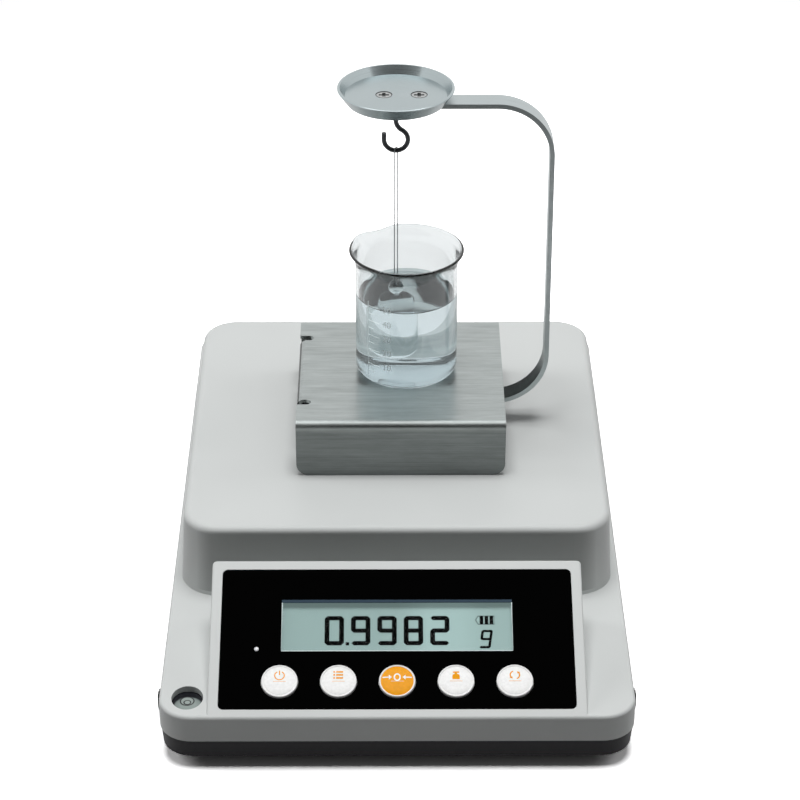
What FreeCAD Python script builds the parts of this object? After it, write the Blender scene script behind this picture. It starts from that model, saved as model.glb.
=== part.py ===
import FreeCAD, Part
import math
import os

from FreeCAD import Placement, Rotation, Vector

# Benchtop density meter: a precision balance whose arm hangs a glass sinker in a beaker of liquid.
# Millimetres, +Z up, the operator stands at -Y. The origin is on the bench, under the middle of the housing.

# ---- housing ----
OVERALL_HEIGHT = 216.7
HOUSING_WIDTH = 189.0
HOUSING_DEPTH = 315.0
HOUSING_CORNER_R = 13.5
SHELL_WALL = 2.5
UNDERSIDE_Z = 6.0
TRAY_HEIGHT = 8.0
DECK_HEIGHT = 11.7
DECK_EDGE_R = 1.5
TRAY_STEP_IN = 0.4
TRAY_DRAW_IN = 1.2
LIP_HEIGHT = 1.5
LIP_WALL = 1.2
LIP_GAP = 0.2

# ---- raised platform ----
PLATFORM_SIDE_SHELF = 3.7
PLATFORM_BACK_SHELF = 44.8
PLATFORM_DEPTH = 185.4
PLATFORM_HEIGHT = 32.3
PLATFORM_CORNER_R = 17.0
PLATFORM_EDGE_R = 3.0
PLATFORM_DRAFT_DEG = 3.0
POST_HOLE_GAP = 0.9

# ---- console ----
CONSOLE_WIDTH = 150.0
CONSOLE_LENGTH = 72.2
CONSOLE_TILT_DEG = 24.8
CONSOLE_WALL = 2.8
CONSOLE_FACE = 3.5
CONSOLE_BACK_DRAFT = 1.5
CONSOLE_CORNER_R = 1.8
CONSOLE_EDGE_R = 0.8
PANEL_SIDE_MARGIN = 4.4
PANEL_FRONT_MARGIN = 3.1
PANEL_BACK_MARGIN = 4.8
PANEL_THICKNESS = 1.6
PANEL_SINK = 0.1
PANEL_CORNER_R = 2.3
PANEL_GAP = 0.15
PANEL_LEDGE = 10.2
PANEL_LEDGE_ENDS = 3.5

# ---- display ----
WINDOW_WIDTH = 92.8
WINDOW_HEIGHT = 23.9
WINDOW_UP = 41.25
WINDOW_OVERLAP = 2.0
WINDOW_THICKNESS = 1.0
LCD_OVERLAP = 1.6
LCD_THICKNESS = 2.3
GLASS_CORNER_R = 1.0
STACK_GAP = 0.1
HOLDER_WALL = 2.0
HOLDER_FLOOR = 2.9
HOLDER_RISE = 1.1
LED_INSET_X = 14.5
LED_UP = 30.6
LED_NOSE_R = 0.95
LED_BODY_R = 1.5
LED_HOLE_R = 1.1
LED_SHOULDER_GAP = 0.2
LED_DOME = 0.3

# ---- keys ----
KEY_COUNT = 5
KEY_NAMES = ("key_power", "key_function", "key_tare", "key_calibrate", "key_convert")
KEY_PITCH = 23.3
KEY_UP = 15.35
KEY_R = 7.25
KEY_HOLE_GAP = 0.2
KEY_PROUD = 1.3
KEY_EDGE_R = 0.8
KEY_DISH = 0.25
KEY_FLANGE_R = 8.2
KEY_FLANGE_T = 1.2
KEY_STEM_R = 1.7
KEY_STEM_GAP = 0.15
SWITCH_SIZE = 6.2
SWITCH_HEIGHT = 3.5
SWITCH_BORE_DEPTH = 1.8
SWITCH_ENTRY = 0.2

# ---- display board ----
BOARD_T = 1.6
DISPLAY_BOARD_SIDE_GAP = 4.2
DISPLAY_BOARD_BACK_GAP = 10.2
DISPLAY_BOARD_FRONT = 8.0
DISPLAY_TAB_WIDTH = 9.0
DISPLAY_TAB_FRONT = 18.0
DISPLAY_SCREW_IN = 3.5
DISPLAY_SCREW_UP = 5.5
DISPLAY_BOSS_R = 3.0

# ---- levelling feet ----
FOOT_INSET_X = 12.0
FOOT_REAR_INSET_X = 20.0
FOOT_INSET_Y = 38.0
FOOT_PAD_R = 10.0
FOOT_PAD_T = 3.3
FOOT_WHEEL_R = 15.0
FOOT_WHEEL_T = 5.5
FOOT_WHEEL_Z = 4.0
FOOT_KNURL = 0.7
FOOT_KNURL_COUNT = 56
FOOT_STUD_R = 3.0
FOOT_STUD_GAP = 0.05
FOOT_STUD_SEAT = 1.5
FOOT_PAD_SOCKET_GAP = 0.1
FOOT_INSERT_R = 4.25
FOOT_INSERT_H = 10.0
FOOT_BOSS_R = 7.0
FOOT_POCKET_GAP = 1.5
FOOT_POCKET_HEADROOM = 1.0
FOOT_POCKET_WALL = 2.0
FOOT_INSERT_SEAT = 1.0
FOOT_STUD_PASS = 0.3

# ---- bubble level ----
LEVEL_INSET_X = 11.3
LEVEL_INSET_Y = 13.0
LEVEL_HOLE_HALF_WIDTH = 6.3
LEVEL_HOLE_HALF_LENGTH = 7.8
LEVEL_VIAL_R = 8.0
LEVEL_VIAL_H = 5.0
LEVEL_GAP = 0.1
LEVEL_RING_WALL = 1.5
LEVEL_CAP_T = 1.3

# ---- case screws ----
CASE_SCREW_R = 1.5
CASE_SCREW_HEAD_R = 3.0
CASE_SCREW_HEAD_T = 2.0
CASE_SCREW_SINK = 1.5
CASE_SCREW_LENGTH = 11.0
CASE_BOSS_R = 4.0
CASE_SIDE_INSET = 7.6
CASE_END_INSET = 9.0
CASE_END_X_INSET = 31.0
CASE_BEHIND_FOOT = 23.5
CASE_MIDDLE_BACK = 20.0
SCREW_GAP = 0.05
SCREW_PASS = 0.3

# ---- weighing parts ----
PAN_X = 0.0
PAN_FORWARD = 1.1
PLATE_FRONT = 23.0
PLATE_LENGTH = 104.0
PLATE_T = 5.0
PLATE_BOSS_H = 3.5
PLATE_SCREW_IN = 5.0
PLATE_SCREW_R = 2.0
PLATE_SCREW_HEAD_R = 3.6
PLATE_SCREW_HEAD_T = 2.4
CELL_WIDTH = 14.0
CELL_HEIGHT = 14.0
CELL_LENGTH = 80.0
CELL_NOSE = 14.0
CELL_BORE_R = 4.5
CELL_BORE_SPACING = 14.0
CELL_WINDOW = 4.0
CELL_SPACER_T = 6.0
CELL_SPACER_LENGTH = 22.0
CELL_SCREW_R = 2.0
CELL_SCREW_SPACING = 10.0
CELL_SCREW_BITE = 7.0
CELL_SCREW_HEAD_R = 3.6
CELL_SCREW_HEAD_T = 2.4
CELL_SCREW_HEAD_SINK = 0.1
STOP_SCREW_R = 2.0
STOP_GAP = 0.4
STOP_NUT_AF = 7.0
STOP_NUT_T = 2.8
PAN_GAP = 0.3
PAN_BASE_WIDTH = 16.0
PAN_BASE_LENGTH = 22.0
PAN_BASE_T = 7.0
PAN_SCREW_R = 1.5
PAN_SCREW_SPACING = 16.0
PAN_SCREW_HEAD_R = 2.5
PAN_SCREW_HEAD_T = 2.0
PAN_SCREW_BITE = 11.0
PAN_SCREW_SINK = 0.5
CELL_HOLE_SPARE = 1.0
POST_R = 5.0
POST_HEAD_LENGTH = 22.0
POST_HEAD_T = 6.5

# ---- beaker bridge ----
SHEET_T = 1.5
BRIDGE_WIDTH = 89.0
BRIDGE_DEPTH = 91.3
BRIDGE_HEIGHT = 25.8
BRIDGE_RIGHT_OF_PAN = 1.9
BRIDGE_FRONT_OF_PAN = 2.3
BRIDGE_BEND_R = 3.0
BRIDGE_CORNER_R = 5.5
NOTCH_WIDTH = 4.1
NOTCH_LENGTH = 6.1
NOTCH_FRONT_Y = -27.7
NOTCH_BACK_Y = 29.2

# ---- beaker ----
BEAKER_R = 22.0
BEAKER_WALL = 1.3
BEAKER_FLOOR = 1.6
BEAKER_HEIGHT = 58.3
BEAKER_CORNER_R = 4.0
BEAKER_RIM_R = 24.6
BEAKER_RIM_T = 2.0
BEAKER_FLARE = 4.5
BEAKER_RIGHT_OF_PAN = 4.5
SPOUT_TURN_DEG = 142.0
SPOUT_OUT = 20.6
SPOUT_TOP_R = 6.0
SPOUT_FOOT_R = 2.0
SPOUT_DEPTH = 12.0

# ---- hanger arm ----
BAR_WIDTH = 10.0
BAR_T = 2.0
BAR_CLEARANCE = 10.5
ARM_SCREW_SPACING = 12.0
ARM_SCREW_SPARE = 1.0
ARM_REACH = 66.3
ARM_TAIL = 12.0
ARM_BEND_R = 24.0

# ---- weighing tray ----
TRAY_RIM_R = 24.4
TRAY_BASE_R = 20.8
TRAY_DEPTH = 5.7
TRAY_FLOOR_T = 2.3
TRAY_SIDE_T = 1.1
TRAY_SCREW_LEFT = 5.0
TRAY_SCREW_RIGHT = 9.6
CSK_HEAD_R = 3.2
CSK_HEAD_T = 1.7
CSK_SHANK_R = 1.5
CSK_SINK = 0.12
TRAY_SCREW_END = 0.8

# ---- hook, wire and sinker ----
HOOK_WIRE_R = 1.0
HOOK_R = 5.0
HOOK_DROP = 16.0
HOOK_TIP = 3.0
HOOK_NUT_AF = 4.0
HOOK_NUT_T = 1.8
LOOP_WIRE_R = 0.225
LOOP_R = 1.4
LOOP_TURN_DEG = 28.0
LOOP_SLACK = 0.1
EYE_R = 2.4
EYE_TUBE_R = 0.85
SINKER_R = 8.0
SINKER_CLEARANCE = 7.7
SINKER_LENGTH = 25.0
SINKER_END_R = 5.0
SINKER_NECK_R = 1.6
SINKER_NECK_H = 3.0

# ---- electronics and battery ----
STANDOFF_R = 3.0
STANDOFF_H = 5.5
BOARD_SCREW_R = 1.0
BOARD_SCREW_HEAD_R = 2.0
BOARD_SCREW_HEAD_T = 1.6
BOARD_SCREW_IN = 4.0
BOARD_SCREW_BITE = 4.0
MAIN_BOARD_WIDTH = 110.0
MAIN_BOARD_DEPTH = 52.0
MAIN_BOARD_GAP = 20.0
POWER_BOARD_WIDTH = 40.0
POWER_BOARD_DEPTH = 30.0
POWER_BOARD_X = 33.0
POWER_BOARD_GAP = 0.3
PROCESSOR_SIZE = 12.0
CONVERTER_SIZE = 9.0
CRYSTAL_SIZE = 5.0
CHIP_T = 1.8
CAN_R = 4.0
CAN_HEIGHT = 9.0
SMALL_CAN_HEIGHT = 7.0
BUZZER_R = 6.0
JACK_SIZE = 9.0
JACK_LENGTH = 13.0
JACK_BORE_R = 2.85
JACK_BORE_DEPTH = 9.0
JACK_PIN_R = 1.0
JACK_WALL_HOLE_GAP = 0.4
JACK_GAP = 0.2
JACK_RIM_GAP = 0.1
BATTERY_WIDTH = 52.0
BATTERY_LENGTH = 97.0
BATTERY_HEIGHT = 24.0
BATTERY_CORNER_R = 2.0
BATTERY_SIDE_GAP = 14.5
BAY_TO_PLATE = 2.0
BAY_TO_FOOT = 1.5
BAY_GAP = 0.5
BAY_WALL = 1.5
BAY_WALL_H = 12.0
COVER_T = 1.5
COVER_SIDE_LAP = 2.0
COVER_END_LAP = 7.0
COVER_GAP = 0.2
COVER_SCREW_R = 1.25
COVER_SCREW_HEAD_R = 2.4
COVER_SCREW_HEAD_T = 1.0
COVER_SCREW_SPARE = 2.0
COVER_BOSS_R = 3.2
COVER_BOSS_H = 5.0
RIBBON_WIDTH = 20.0
RIBBON_T = 0.8
RIBBON_BEND_R = 4.0
RIBBON_SOCKET_HEIGHT = 5.0
SOCKET_WIDTH = 8.0
SOCKET_DEPTH = 6.0
SOCKET_HEIGHT = 8.0
SOCKET_SETBACK = 1.0
LEAD_R = 1.2
LEAD_BEND_R = 5.0
LEAD_LIMP_R = 4.5

# ---- levels and places that follow from the sizes above. Cutters run on by PAST ----
TRAY_FLOOR_TOP = UNDERSIDE_Z + SHELL_WALL
SPLIT_Z = UNDERSIDE_Z + TRAY_HEIGHT
DECK_Z = SPLIT_Z + DECK_HEIGHT
PLATFORM_Z = DECK_Z + PLATFORM_HEIGHT
FRONT_Y = -HOUSING_DEPTH / 2
BACK_Y = HOUSING_DEPTH / 2
PLATFORM_WIDTH = HOUSING_WIDTH - 2 * PLATFORM_SIDE_SHELF
PLATFORM_Y = BACK_Y - PLATFORM_BACK_SHELF - PLATFORM_DEPTH / 2
PAN_Y = PLATFORM_Y - PAN_FORWARD
DRAFT = math.tan(math.radians(PLATFORM_DRAFT_DEG))
TILT = math.radians(CONSOLE_TILT_DEG)
CONSOLE_Y = FRONT_Y + DECK_EDGE_R * (1 - math.sin(TILT))
CONSOLE_Z = DECK_Z - DECK_EDGE_R * (1 - math.cos(TILT))
CONSOLE_BACK_Y = CONSOLE_Y + CONSOLE_LENGTH * math.cos(TILT)
CONSOLE_TOP_Z = CONSOLE_Z + CONSOLE_LENGTH * math.sin(TILT)
PANEL_WIDTH = CONSOLE_WIDTH - 2 * PANEL_SIDE_MARGIN
PANEL_LENGTH = CONSOLE_LENGTH - PANEL_FRONT_MARGIN - PANEL_BACK_MARGIN
PANEL_MIDDLE = PANEL_FRONT_MARGIN + PANEL_LENGTH / 2
LED_X = LED_INSET_X - PANEL_WIDTH / 2
PANEL_SEAT = -PANEL_SINK - PANEL_THICKNESS
WINDOW_BACK = PANEL_SEAT - WINDOW_THICKNESS
LCD_BACK = WINDOW_BACK - STACK_GAP - LCD_THICKNESS
BOARD_FACE = LCD_BACK - HOLDER_FLOOR
SWITCH_TOP = BOARD_FACE + SWITCH_HEIGHT
DISPLAY_BOARD_HALF = CONSOLE_WIDTH / 2 - CONSOLE_WALL - DISPLAY_BOARD_SIDE_GAP
DISPLAY_BOARD_BACK = CONSOLE_LENGTH - DISPLAY_BOARD_BACK_GAP
FOOT_WHEEL_TOP = FOOT_WHEEL_Z + FOOT_WHEEL_T
FOOT_X = HOUSING_WIDTH / 2 - FOOT_INSET_X
FOOT_REAR_X = HOUSING_WIDTH / 2 - FOOT_REAR_INSET_X
FOOT_Y = HOUSING_DEPTH / 2 - FOOT_INSET_Y
FOOT_POCKET_Z = FOOT_WHEEL_TOP + FOOT_POCKET_HEADROOM
FOOT_POCKET_R = FOOT_WHEEL_R + FOOT_POCKET_GAP
FOOT_SLAB_Z = FOOT_POCKET_Z + SHELL_WALL
FOOT_INSERT_Z = FOOT_POCKET_Z + FOOT_INSERT_SEAT
FOOT_INSERT_TOP = FOOT_INSERT_Z + FOOT_INSERT_H
LEVEL_X = LEVEL_INSET_X - HOUSING_WIDTH / 2
LEVEL_Y = FRONT_Y + LEVEL_INSET_Y
LEVEL_VIAL_TOP = DECK_Z - SHELL_WALL - LEVEL_GAP
LEVEL_VIAL_Z = LEVEL_VIAL_TOP - LEVEL_VIAL_H
LEVEL_CAP_Z = LEVEL_VIAL_Z - LEVEL_CAP_T
LEVEL_RING_R = LEVEL_VIAL_R + LEVEL_GAP + LEVEL_RING_WALL
PLATE_Z = TRAY_FLOOR_TOP + PLATE_BOSS_H
PLATE_TOP = PLATE_Z + PLATE_T
PLATE_Y = PAN_Y - PLATE_FRONT
CELL_Z = PLATE_TOP + CELL_SPACER_T
CELL_TOP = CELL_Z + CELL_HEIGHT
CELL_Y = PAN_Y - CELL_NOSE
CELL_BACK_Y = CELL_Y + CELL_LENGTH
CELL_FIXED_Y = CELL_BACK_Y - CELL_SPACER_LENGTH / 2
PAN_BASE_Z = CELL_TOP + PAN_GAP
PAN_BASE_TOP = PAN_BASE_Z + PAN_BASE_T
BAR_Z = PLATFORM_Z + BAR_CLEARANCE
BAR_TOP = BAR_Z + BAR_T
ARM_TOP_Z = OVERALL_HEIGHT - TRAY_DEPTH
ARM_OUTER_X = PAN_X + ARM_REACH
BRIDGE_TOP_Z = PLATFORM_Z + BRIDGE_HEIGHT
BRIDGE_X = PAN_X + BRIDGE_RIGHT_OF_PAN
BRIDGE_Y = PAN_Y - BRIDGE_FRONT_OF_PAN
BRIDGE_LEFT = BRIDGE_X - BRIDGE_WIDTH / 2
BRIDGE_RIGHT = BRIDGE_X + BRIDGE_WIDTH / 2
BRIDGE_FRONT = BRIDGE_Y - BRIDGE_DEPTH / 2
BRIDGE_BACK = BRIDGE_Y + BRIDGE_DEPTH / 2
BEAKER_CX = PAN_X + BEAKER_RIGHT_OF_PAN
BEAKER_CY = PAN_Y
BEAKER_RIM_Z = BRIDGE_TOP_Z + BEAKER_HEIGHT
TRAY_RIM_Z = OVERALL_HEIGHT
TRAY_TOP_OF_FLOOR = ARM_TOP_Z + TRAY_FLOOR_T
ARM_END_UNDERSIDE = ARM_TOP_Z - BAR_T
HOOK_CENTRE_Z = ARM_END_UNDERSIDE - HOOK_DROP
HOOK_BOTTOM_Z = HOOK_CENTRE_Z - HOOK_R
LOOP_TOP_Z = HOOK_BOTTOM_Z + HOOK_WIRE_R + LOOP_SLACK + LOOP_WIRE_R - LOOP_R
SINKER_LOW_Z = BRIDGE_TOP_Z + BEAKER_FLOOR + SINKER_CLEARANCE
SINKER_TOP_Z = SINKER_LOW_Z + SINKER_LENGTH
EYE_Z = SINKER_TOP_Z + SINKER_NECK_H + EYE_TUBE_R / 2 + EYE_R
LOOP_BOTTOM_Z = EYE_Z + EYE_R - EYE_TUBE_R - LOOP_SLACK - LOOP_WIRE_R + LOOP_R
BOARD_Z = TRAY_FLOOR_TOP + STANDOFF_H
BOARD_TOP = BOARD_Z + BOARD_T
MAIN_BOARD_Y = PLATE_Y - MAIN_BOARD_GAP - MAIN_BOARD_DEPTH / 2
MAIN_BOARD_FRONT = MAIN_BOARD_Y - MAIN_BOARD_DEPTH / 2
MAIN_BOARD_BACK = MAIN_BOARD_Y + MAIN_BOARD_DEPTH / 2
LEAD_SOCKET_X = MAIN_BOARD_WIDTH / 4
LEAD_SOCKET_Y = MAIN_BOARD_BACK - SOCKET_DEPTH / 2
POWER_BOARD_TOP = SPLIT_Z + JACK_RIM_GAP
POWER_BOARD_Z = POWER_BOARD_TOP - BOARD_T
POWER_BOARD_BACK = BACK_Y - SHELL_WALL - LIP_GAP - LIP_WALL - POWER_BOARD_GAP
POWER_BOARD_Y = POWER_BOARD_BACK - POWER_BOARD_DEPTH / 2
JACK_Z = POWER_BOARD_TOP + JACK_SIZE / 2
JACK_BACK = BACK_Y - SHELL_WALL - JACK_GAP
BATTERY_X = BATTERY_SIDE_GAP + BATTERY_WIDTH / 2 - HOUSING_WIDTH / 2
BAY_RIGHT_X = BATTERY_X + BATTERY_WIDTH / 2 + BAY_GAP + BAY_WALL
BAY_BACK_Y = FOOT_Y - FOOT_POCKET_R - FOOT_POCKET_WALL - BAY_TO_FOOT
BATTERY_Y = BAY_BACK_Y - COVER_END_LAP - BAY_GAP - BATTERY_LENGTH / 2
PLATE_HALF_WIDTH = PAN_X - BAY_RIGHT_X - BAY_TO_PLATE
COVER_TOP = UNDERSIDE_Z + COVER_T
UP = Vector(0, 0, 1)
ABOUT = 0.01
ALIGN_DEG = 25.0
ALIGNED = math.cos(math.radians(ALIGN_DEG))
PAST = 1.0


# ---- drawing helpers ----
def box(x0, x1, y0, y1, z0, z1):
    return Part.makeBox(x1 - x0, y1 - y0, z1 - z0, Vector(x0, y0, z0))


def cylinder(radius, z0, z1, x=0.0, y=0.0):
    return Part.makeCylinder(radius, z1 - z0, Vector(x, y, z0))


def join(shapes):
    """One solid from overlapping shapes, with its split faces merged."""
    whole = shapes[0]
    if len(shapes) > 1:
        whole = whole.multiFuse(shapes[1:])
    return whole.removeSplitter()


def cut(body, tools):
    return body.cut(Part.Compound(tools)).removeSplitter()


def rounded_wire(width, depth, radius, z, x=0.0, y=0.0):
    """Closed outline of a rectangle with round corners, level at z."""
    edges = []
    reach_x = width / 2 - radius
    reach_y = depth / 2 - radius
    corners = ((1, 1), (-1, 1), (-1, -1), (1, -1))
    for turn, (side_x, side_y) in enumerate(corners):
        centre = Vector(x + side_x * reach_x, y + side_y * reach_y, z)
        edges.append(Part.makeCircle(radius, centre, UP, 90 * turn, 90 * turn + 90))
    outline = []
    for turn, arc in enumerate(edges):
        following = edges[(turn + 1) % len(edges)]
        outline.append(arc)
        outline.append(Part.makeLine(arc.lastVertex().Point, following.firstVertex().Point))
    return Part.Wire(outline)


def slab(width, depth, radius, z0, z1, x=0.0, y=0.0):
    """Plate with round corners."""
    face = Part.Face(rounded_wire(width, depth, radius, z0, x, y))
    return face.extrude(Vector(0, 0, z1 - z0))


def tapered_slab(width, depth, radius, z0, z1, draw_in, y=0.0):
    """Plate whose sides lean in by draw_in from z0 to z1. A negative value leans them out."""
    low = rounded_wire(width, depth, radius, z0, 0.0, y)
    high = rounded_wire(width - 2 * draw_in, depth - 2 * draw_in, radius - draw_in, z1, 0.0, y)
    return Part.makeLoft([low, high], True, True)


def level_edges(shape, z):
    """The edges of a shape that lie level at z."""
    found = []
    for edge in shape.Edges:
        if all(abs(corner.Z - z) < ABOUT for corner in edge.Vertexes):
            found.append(edge)
    return found


def outline_face(points, place):
    """Flat face through 2-D points, put in space by place."""
    corners = [place(a, b) for a, b in points]
    return Part.Face(Part.makePolygon(corners + corners[:1]))


def turned(edges, x, y):
    """Solid of revolution about a vertical axis, from a closed chain of profile edges in the XZ plane."""
    solid = Part.Face(Part.Wire(edges)).revolve(Vector(0, 0, 0), UP, 360)
    solid.translate(Vector(x, y, 0))
    return solid


def profile(points):
    """Closed chain of straight profile edges through (radius, height) points."""
    corners = [Vector(r, 0, z) for r, z in points]
    return Part.makePolygon(corners + corners[:1]).Edges


def arc_edge(centre, radius, start_deg, end_deg):
    """Arc in the XZ plane about centre = (x, z). Angles are measured from +X towards +Z."""
    def at(angle):
        turn = math.radians(angle)
        return Vector(centre[0] + radius * math.cos(turn), 0, centre[1] + radius * math.sin(turn))
    return Part.Arc(at(start_deg), at((start_deg + end_deg) / 2), at(end_deg)).toShape()


def line_edge(start, end):
    return Part.makeLine(Vector(start[0], 0, start[1]), Vector(end[0], 0, end[1]))


def bent_strip(edges, thickness, width, y):
    """Strip of constant thickness that follows a path in the XZ plane, centred on y across its width."""
    path = Part.Wire(edges)
    first = path.Edges[0]
    start = first.valueAt(first.FirstParameter)
    along = first.tangentAt(first.FirstParameter)
    across = along.cross(Vector(0, 1, 0)).normalize().multiply(thickness / 2)
    side = Vector(0, width / 2, 0)
    corners = [start + across + side, start + across - side, start - across - side, start - across + side]
    section = Part.makePolygon(corners + corners[:1])
    strip = path.makePipeShell([section], True, False)
    strip.translate(Vector(0, y, 0))
    return strip


def round_bar(path, radius):
    """Round wire or lead along a path."""
    first = path.Edges[0]
    start = first.valueAt(first.FirstParameter)
    along = first.tangentAt(first.FirstParameter)
    section = Part.Wire(Part.makeCircle(radius, start, along))
    return path.makePipeShell([section], True, False)


def bent_path(points, bend_r):
    """Straight runs through the points, joined by tangent arcs of bend_r."""
    corners = [Vector(*point) for point in points]
    edges = []
    start = corners[0]
    for before, here, after in zip(corners, corners[1:], corners[2:]):
        inward = (before - here).normalize()
        outward = (after - here).normalize()
        half = inward.getAngle(outward) / 2
        setback = bend_r / math.tan(half)
        middle = (inward + outward).normalize()
        centre = here + middle * (bend_r / math.sin(half))
        arc_start = here + inward * setback
        arc_end = here + outward * setback
        edges.append(Part.makeLine(start, arc_start))
        edges.append(Part.Arc(arc_start, centre - middle * bend_r, arc_end).toShape())
        start = arc_end
    edges.append(Part.makeLine(start, corners[-1]))
    return Part.Wire(edges)


def hexagon(across_flats, z0, z1, x, y):
    radius = across_flats / math.sqrt(3)
    corners = []
    for turn in range(6):
        angle = math.radians(60 * turn)
        corners.append(Vector(x + radius * math.cos(angle), y + radius * math.sin(angle), z0))
    return Part.Face(Part.makePolygon(corners + corners[:1])).extrude(Vector(0, 0, z1 - z0))


def pan_head_screw(shank_r, head_r, head_t, seat_z, tip_z, x, y):
    """Cheese-head screw. It points down when tip_z is below its seat, and up otherwise."""
    pointing = 1 if tip_z > seat_z else -1
    head_z = sorted((seat_z, seat_z - pointing * head_t))
    shank_z = sorted((seat_z, tip_z))
    slot_depth = head_t / 2
    outer_z = seat_z - pointing * head_t
    slot_z = sorted((outer_z, outer_z + pointing * slot_depth))
    head = cylinder(head_r, head_z[0], head_z[1], x, y)
    blade = head_r / 5
    slots = [
        box(x - head_r / 2, x + head_r / 2, y - blade / 2, y + blade / 2, slot_z[0], slot_z[1]),
        box(x - blade / 2, x + blade / 2, y - head_r / 2, y + head_r / 2, slot_z[0], slot_z[1]),
    ]
    return join([cut(head, slots), cylinder(shank_r, shank_z[0], shank_z[1], x, y)])


def csk_screw(top_z, tip_z, x, y):
    """Countersunk cross-head screw, its flat top at top_z."""
    neck_z = top_z - CSK_HEAD_T
    points = [(0, top_z), (CSK_HEAD_R, top_z), (CSK_SHANK_R, neck_z), (CSK_SHANK_R, tip_z), (0, tip_z)]
    body = turned(profile(points), x, y)
    arm = CSK_HEAD_R * 2 / 3
    blade = CSK_HEAD_R / 4.5
    cross = [
        box(x - arm, x + arm, y - blade, y + blade, top_z - CSK_HEAD_T / 2, top_z + PAST),
        box(x - blade, x + blade, y - arm, y + arm, top_z - CSK_HEAD_T / 2, top_z + PAST),
    ]
    return cut(body, cross)


def csk_hole(top_z, tip_z, x, y):
    """Cutter for a countersunk screw, with its running gap."""
    neck_z = top_z - CSK_SINK - CSK_HEAD_T
    wide = CSK_HEAD_R + SCREW_GAP + CSK_SINK
    narrow = CSK_SHANK_R + SCREW_GAP
    points = [(0, top_z), (wide, top_z), (narrow, neck_z), (narrow, tip_z), (0, tip_z)]
    return turned(profile(points), x, y)


def on_console(shape):
    """Moves a shape drawn flat (x across, y up the slope, z outward) onto the console's face."""
    turn = Rotation(Vector(1, 0, 0), CONSOLE_TILT_DEG)
    shape.Placement = Placement(Vector(0, CONSOLE_Y, CONSOLE_Z), turn).multiply(shape.Placement)
    return shape


def key_x(index):
    return (index - (KEY_COUNT - 1) / 2) * KEY_PITCH


def case_screw_places():
    places = []
    for side in (-1, 1):
        end_x = side * (HOUSING_WIDTH / 2 - CASE_END_X_INSET)
        side_x = side * (HOUSING_WIDTH / 2 - CASE_SIDE_INSET)
        places.append((end_x, FRONT_Y + CASE_END_INSET))
        places.append((end_x, BACK_Y - CASE_END_INSET))
        places.append((side_x, -FOOT_Y + CASE_BEHIND_FOOT))
        places.append((side_x, CASE_MIDDLE_BACK))
    return places


def display_screw_places():
    inset_x = DISPLAY_BOARD_HALF - DISPLAY_SCREW_IN
    low = DISPLAY_TAB_FRONT + DISPLAY_SCREW_UP
    high = DISPLAY_BOARD_BACK - DISPLAY_SCREW_IN
    return [(side * inset_x, up) for side in (-1, 1) for up in (low, high)]


def foot_places():
    """The front wheels reach past the case's sides. The rear ones are wholly under it."""
    places = {}
    for side, sign_x in {"left": -1, "right": 1}.items():
        places["front_" + side] = (sign_x * FOOT_X, -FOOT_Y)
        places["rear_" + side] = (sign_x * FOOT_REAR_X, FOOT_Y)
    return places


def board_corners(width, depth, x, y):
    """Screw places of a circuit board, just inside its corners."""
    reach_x = width / 2 - BOARD_SCREW_IN
    reach_y = depth / 2 - BOARD_SCREW_IN
    return [(x + sx * reach_x, y + sy * reach_y) for sx in (-1, 1) for sy in (-1, 1)]


def plate_screw_places():
    places = []
    for side in (-1, 1):
        for y in (PLATE_Y + PLATE_SCREW_IN, PLATE_Y + PLATE_LENGTH - PLATE_SCREW_IN):
            places.append((PAN_X + side * (PLATE_HALF_WIDTH - PLATE_SCREW_IN), y))
    return places


def cell_screw_places():
    half = CELL_SCREW_SPACING / 2
    return [(PAN_X, CELL_FIXED_Y - half), (PAN_X, CELL_FIXED_Y + half)]


def pan_screw_places():
    half = PAN_SCREW_SPACING / 2
    return [(PAN_X, PAN_Y - half), (PAN_X, PAN_Y + half)]


def arm_screw_places():
    half = ARM_SCREW_SPACING / 2
    return [(PAN_X - half, PAN_Y), (PAN_X + half, PAN_Y)]


def tray_screw_places():
    return [(PAN_X - TRAY_SCREW_LEFT, PAN_Y), (PAN_X + TRAY_SCREW_RIGHT, PAN_Y)]


def cover_screw_places():
    reach = BATTERY_LENGTH / 2 + BAY_GAP + COVER_END_LAP / 2
    return [(BATTERY_X, BATTERY_Y - reach), (BATTERY_X, BATTERY_Y + reach)]


# ---- upper case ----
def deck_solid(inset, top_z, bottom_z):
    width = HOUSING_WIDTH - 2 * inset
    depth = HOUSING_DEPTH - 2 * inset
    return slab(width, depth, HOUSING_CORNER_R - inset, bottom_z, top_z)


def platform_solid(inset, top_z, bottom_z):
    """The platform's drafted block. Its stated width and depth are at deck level."""
    spread = (DECK_Z - bottom_z) * DRAFT - inset
    width = PLATFORM_WIDTH + 2 * spread
    depth = PLATFORM_DEPTH + 2 * spread
    draw_in = (top_z - bottom_z) * DRAFT
    return tapered_slab(width, depth, PLATFORM_CORNER_R + spread, bottom_z, top_z, draw_in, PLATFORM_Y)


def console_solid(face_inset, side_inset, bottom_z):
    """Wedge under the sloped face. face_inset is measured square to the face."""
    shift_y = face_inset * math.sin(TILT)
    shift_z = face_inset * math.cos(TILT)
    front_y = CONSOLE_Y + shift_y
    front_z = CONSOLE_Z - shift_z
    inner_y = max(front_y, FRONT_Y + max(side_inset, DECK_EDGE_R))
    back_y = CONSOLE_BACK_Y - side_inset
    back_z = front_z + (back_y - front_y) * math.tan(TILT)
    points = [
        (front_y, front_z),
        (back_y, back_z),
        (back_y + CONSOLE_BACK_DRAFT, bottom_z),
        (inner_y, bottom_z),
    ]
    half = CONSOLE_WIDTH / 2 - side_inset
    face = outline_face(points, lambda y, z: Vector(-half, y, z))
    return face.extrude(Vector(2 * half, 0, 0))


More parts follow.
